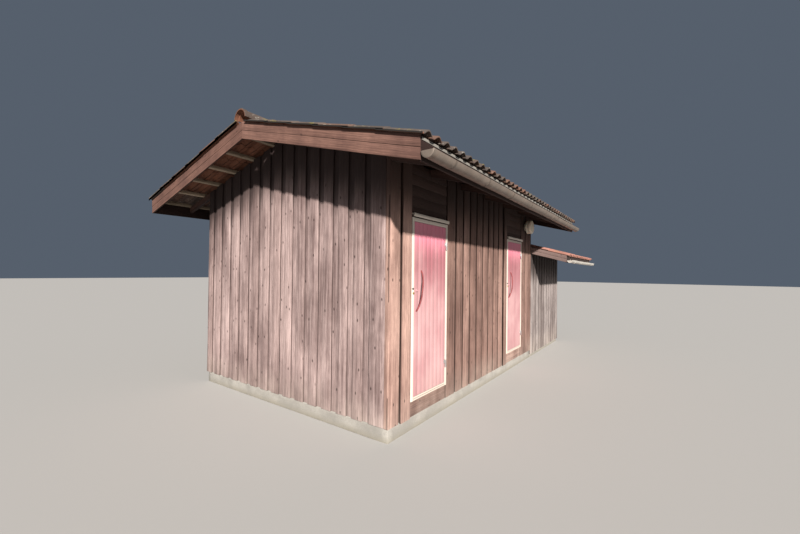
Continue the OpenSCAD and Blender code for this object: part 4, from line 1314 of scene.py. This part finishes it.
# The photograph's camera: place in metres, turns in degrees, shift of the lens in parts of the width
CAMERA_AT = (-5.304, -3.98, 1.721)
CAMERA_YAW, CAMERA_PITCH, CAMERA_ROLL = 35.463, 0.722, 0.65
CAMERA_SHIFT = (-1.373 / 800, 0.348 / 800)
SUN_WAY = (0.92, 1.0, -0.62)
SUN_COLOUR = (1.0, 0.95, 0.88)


class BOATHOUSE_OT_stage(bpy.types.Operator):
    """Plain pale floor, soft light and the camera"""
    bl_idname = "boathouse.stage"
    bl_label = "Stage"

    def execute(self, context):
        scene = context.scene
        s = scene.boathouse_stage

        def place(name, data):
            obj = bpy.data.objects.new(name, data)
            scene.collection.objects.link(obj)
            return obj

        half = s.floor_side / 2
        mesh = bpy.data.meshes.new("stage_floor")
        mesh.from_pydata([(-half, -half, 0), (half, -half, 0), (half, half, 0), (-half, half, 0)], [], [(0, 1, 2, 3)])
        pale = bpy.data.materials.new("pale_floor")
        pale.use_nodes = True
        shader = pale.node_tree.nodes["Principled BSDF"]
        shader.inputs["Base Color"].default_value = (*s.floor, 1.0)
        shader.inputs["Roughness"].default_value = 0.95
        mesh.materials.append(pale)
        place("stage_floor", mesh)

        world = bpy.data.worlds.new("soft_surroundings")
        scene.world = world
        world.use_nodes = True
        background = world.node_tree.nodes["Background"]
        background.inputs["Color"].default_value = (*s.sky, 1.0)
        background.inputs["Strength"].default_value = s.fill

        sun = bpy.data.lights.new("key_light", "SUN")
        sun.energy, sun.angle, sun.color = s.key, s.softness, SUN_COLOUR
        place("key_light", sun).rotation_euler = Vector(SUN_WAY).to_track_quat("-Z", "Y").to_euler()

        data = bpy.data.cameras.new("camera")
        data.sensor_width, data.lens = 36.0, s.focal
        data.shift_x, data.shift_y = CAMERA_SHIFT
        data.clip_start, data.clip_end = 0.05, 400.0
        yaw, pitch, roll = map(math.radians, (CAMERA_YAW, CAMERA_PITCH, CAMERA_ROLL))
        ahead = Vector((math.cos(yaw) * math.cos(pitch), math.sin(yaw) * math.cos(pitch), math.sin(pitch)))
        right = Vector((math.sin(yaw), -math.cos(yaw), 0.0))
        up = right.cross(ahead)
        right, up = math.cos(roll) * right + math.sin(roll) * up, -math.sin(roll) * right + math.cos(roll) * up
        turn = Matrix((right, up, -ahead)).transposed().to_4x4()
        scene.camera = place("camera", data)
        scene.camera.matrix_world = Matrix.Translation(CAMERA_AT) @ turn
        scene.view_settings.view_transform = "Standard"
        return {"FINISHED"}


class BOATHOUSE_PT_panel(bpy.types.Panel):
    """Sizes, colours and steps of the boathouse"""
    bl_idname = "BOATHOUSE_PT_panel"
    bl_label = "Boathouse"
    bl_space_type = "VIEW_3D"
    bl_region_type = "UI"
    bl_category = "Boathouse"

    def draw(self, context):
        for key in GROUPS:
            group = getattr(context.scene, key)
            box = self.layout.box()
            for name in group.__annotations__:
                box.prop(group, name)
        for step in STEPS:
            self.layout.operator(step.bl_idname)


STEPS = (BOATHOUSE_OT_foundations, BOATHOUSE_OT_main_boards, BOATHOUSE_OT_door_panels, BOATHOUSE_OT_annex_boards,
         BOATHOUSE_OT_room, BOATHOUSE_OT_roof_timbers, BOATHOUSE_OT_trim, BOATHOUSE_OT_tiles, BOATHOUSE_OT_ridge,
         BOATHOUSE_OT_gutters, BOATHOUSE_OT_doors, BOATHOUSE_OT_fittings, BOATHOUSE_OT_lamp, BOATHOUSE_OT_stage)
GROUPS = {"boathouse_sizes": BoathouseSizes, "boathouse_colours": BoathouseColours, "boathouse_stage": BoathouseStage}


def register():
    for each in (*GROUPS.values(), *STEPS, BOATHOUSE_PT_panel):
        bpy.utils.register_class(each)
    for name, group in GROUPS.items():
        setattr(bpy.types.Scene, name, PointerProperty(type=group))


def unregister():
    for name in GROUPS:
        delattr(bpy.types.Scene, name)
    for each in (BOATHOUSE_PT_panel, *reversed(STEPS), *GROUPS.values()):
        bpy.utils.unregister_class(each)


def main():
    """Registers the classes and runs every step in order."""
    register()
    for step in STEPS:
        family, name = step.bl_idname.split(".")
        if getattr(getattr(bpy.ops, family), name)() != {"FINISHED"}:
            raise RuntimeError(f"{step.bl_label} was not finished")


if __name__ == "__main__":
    main()
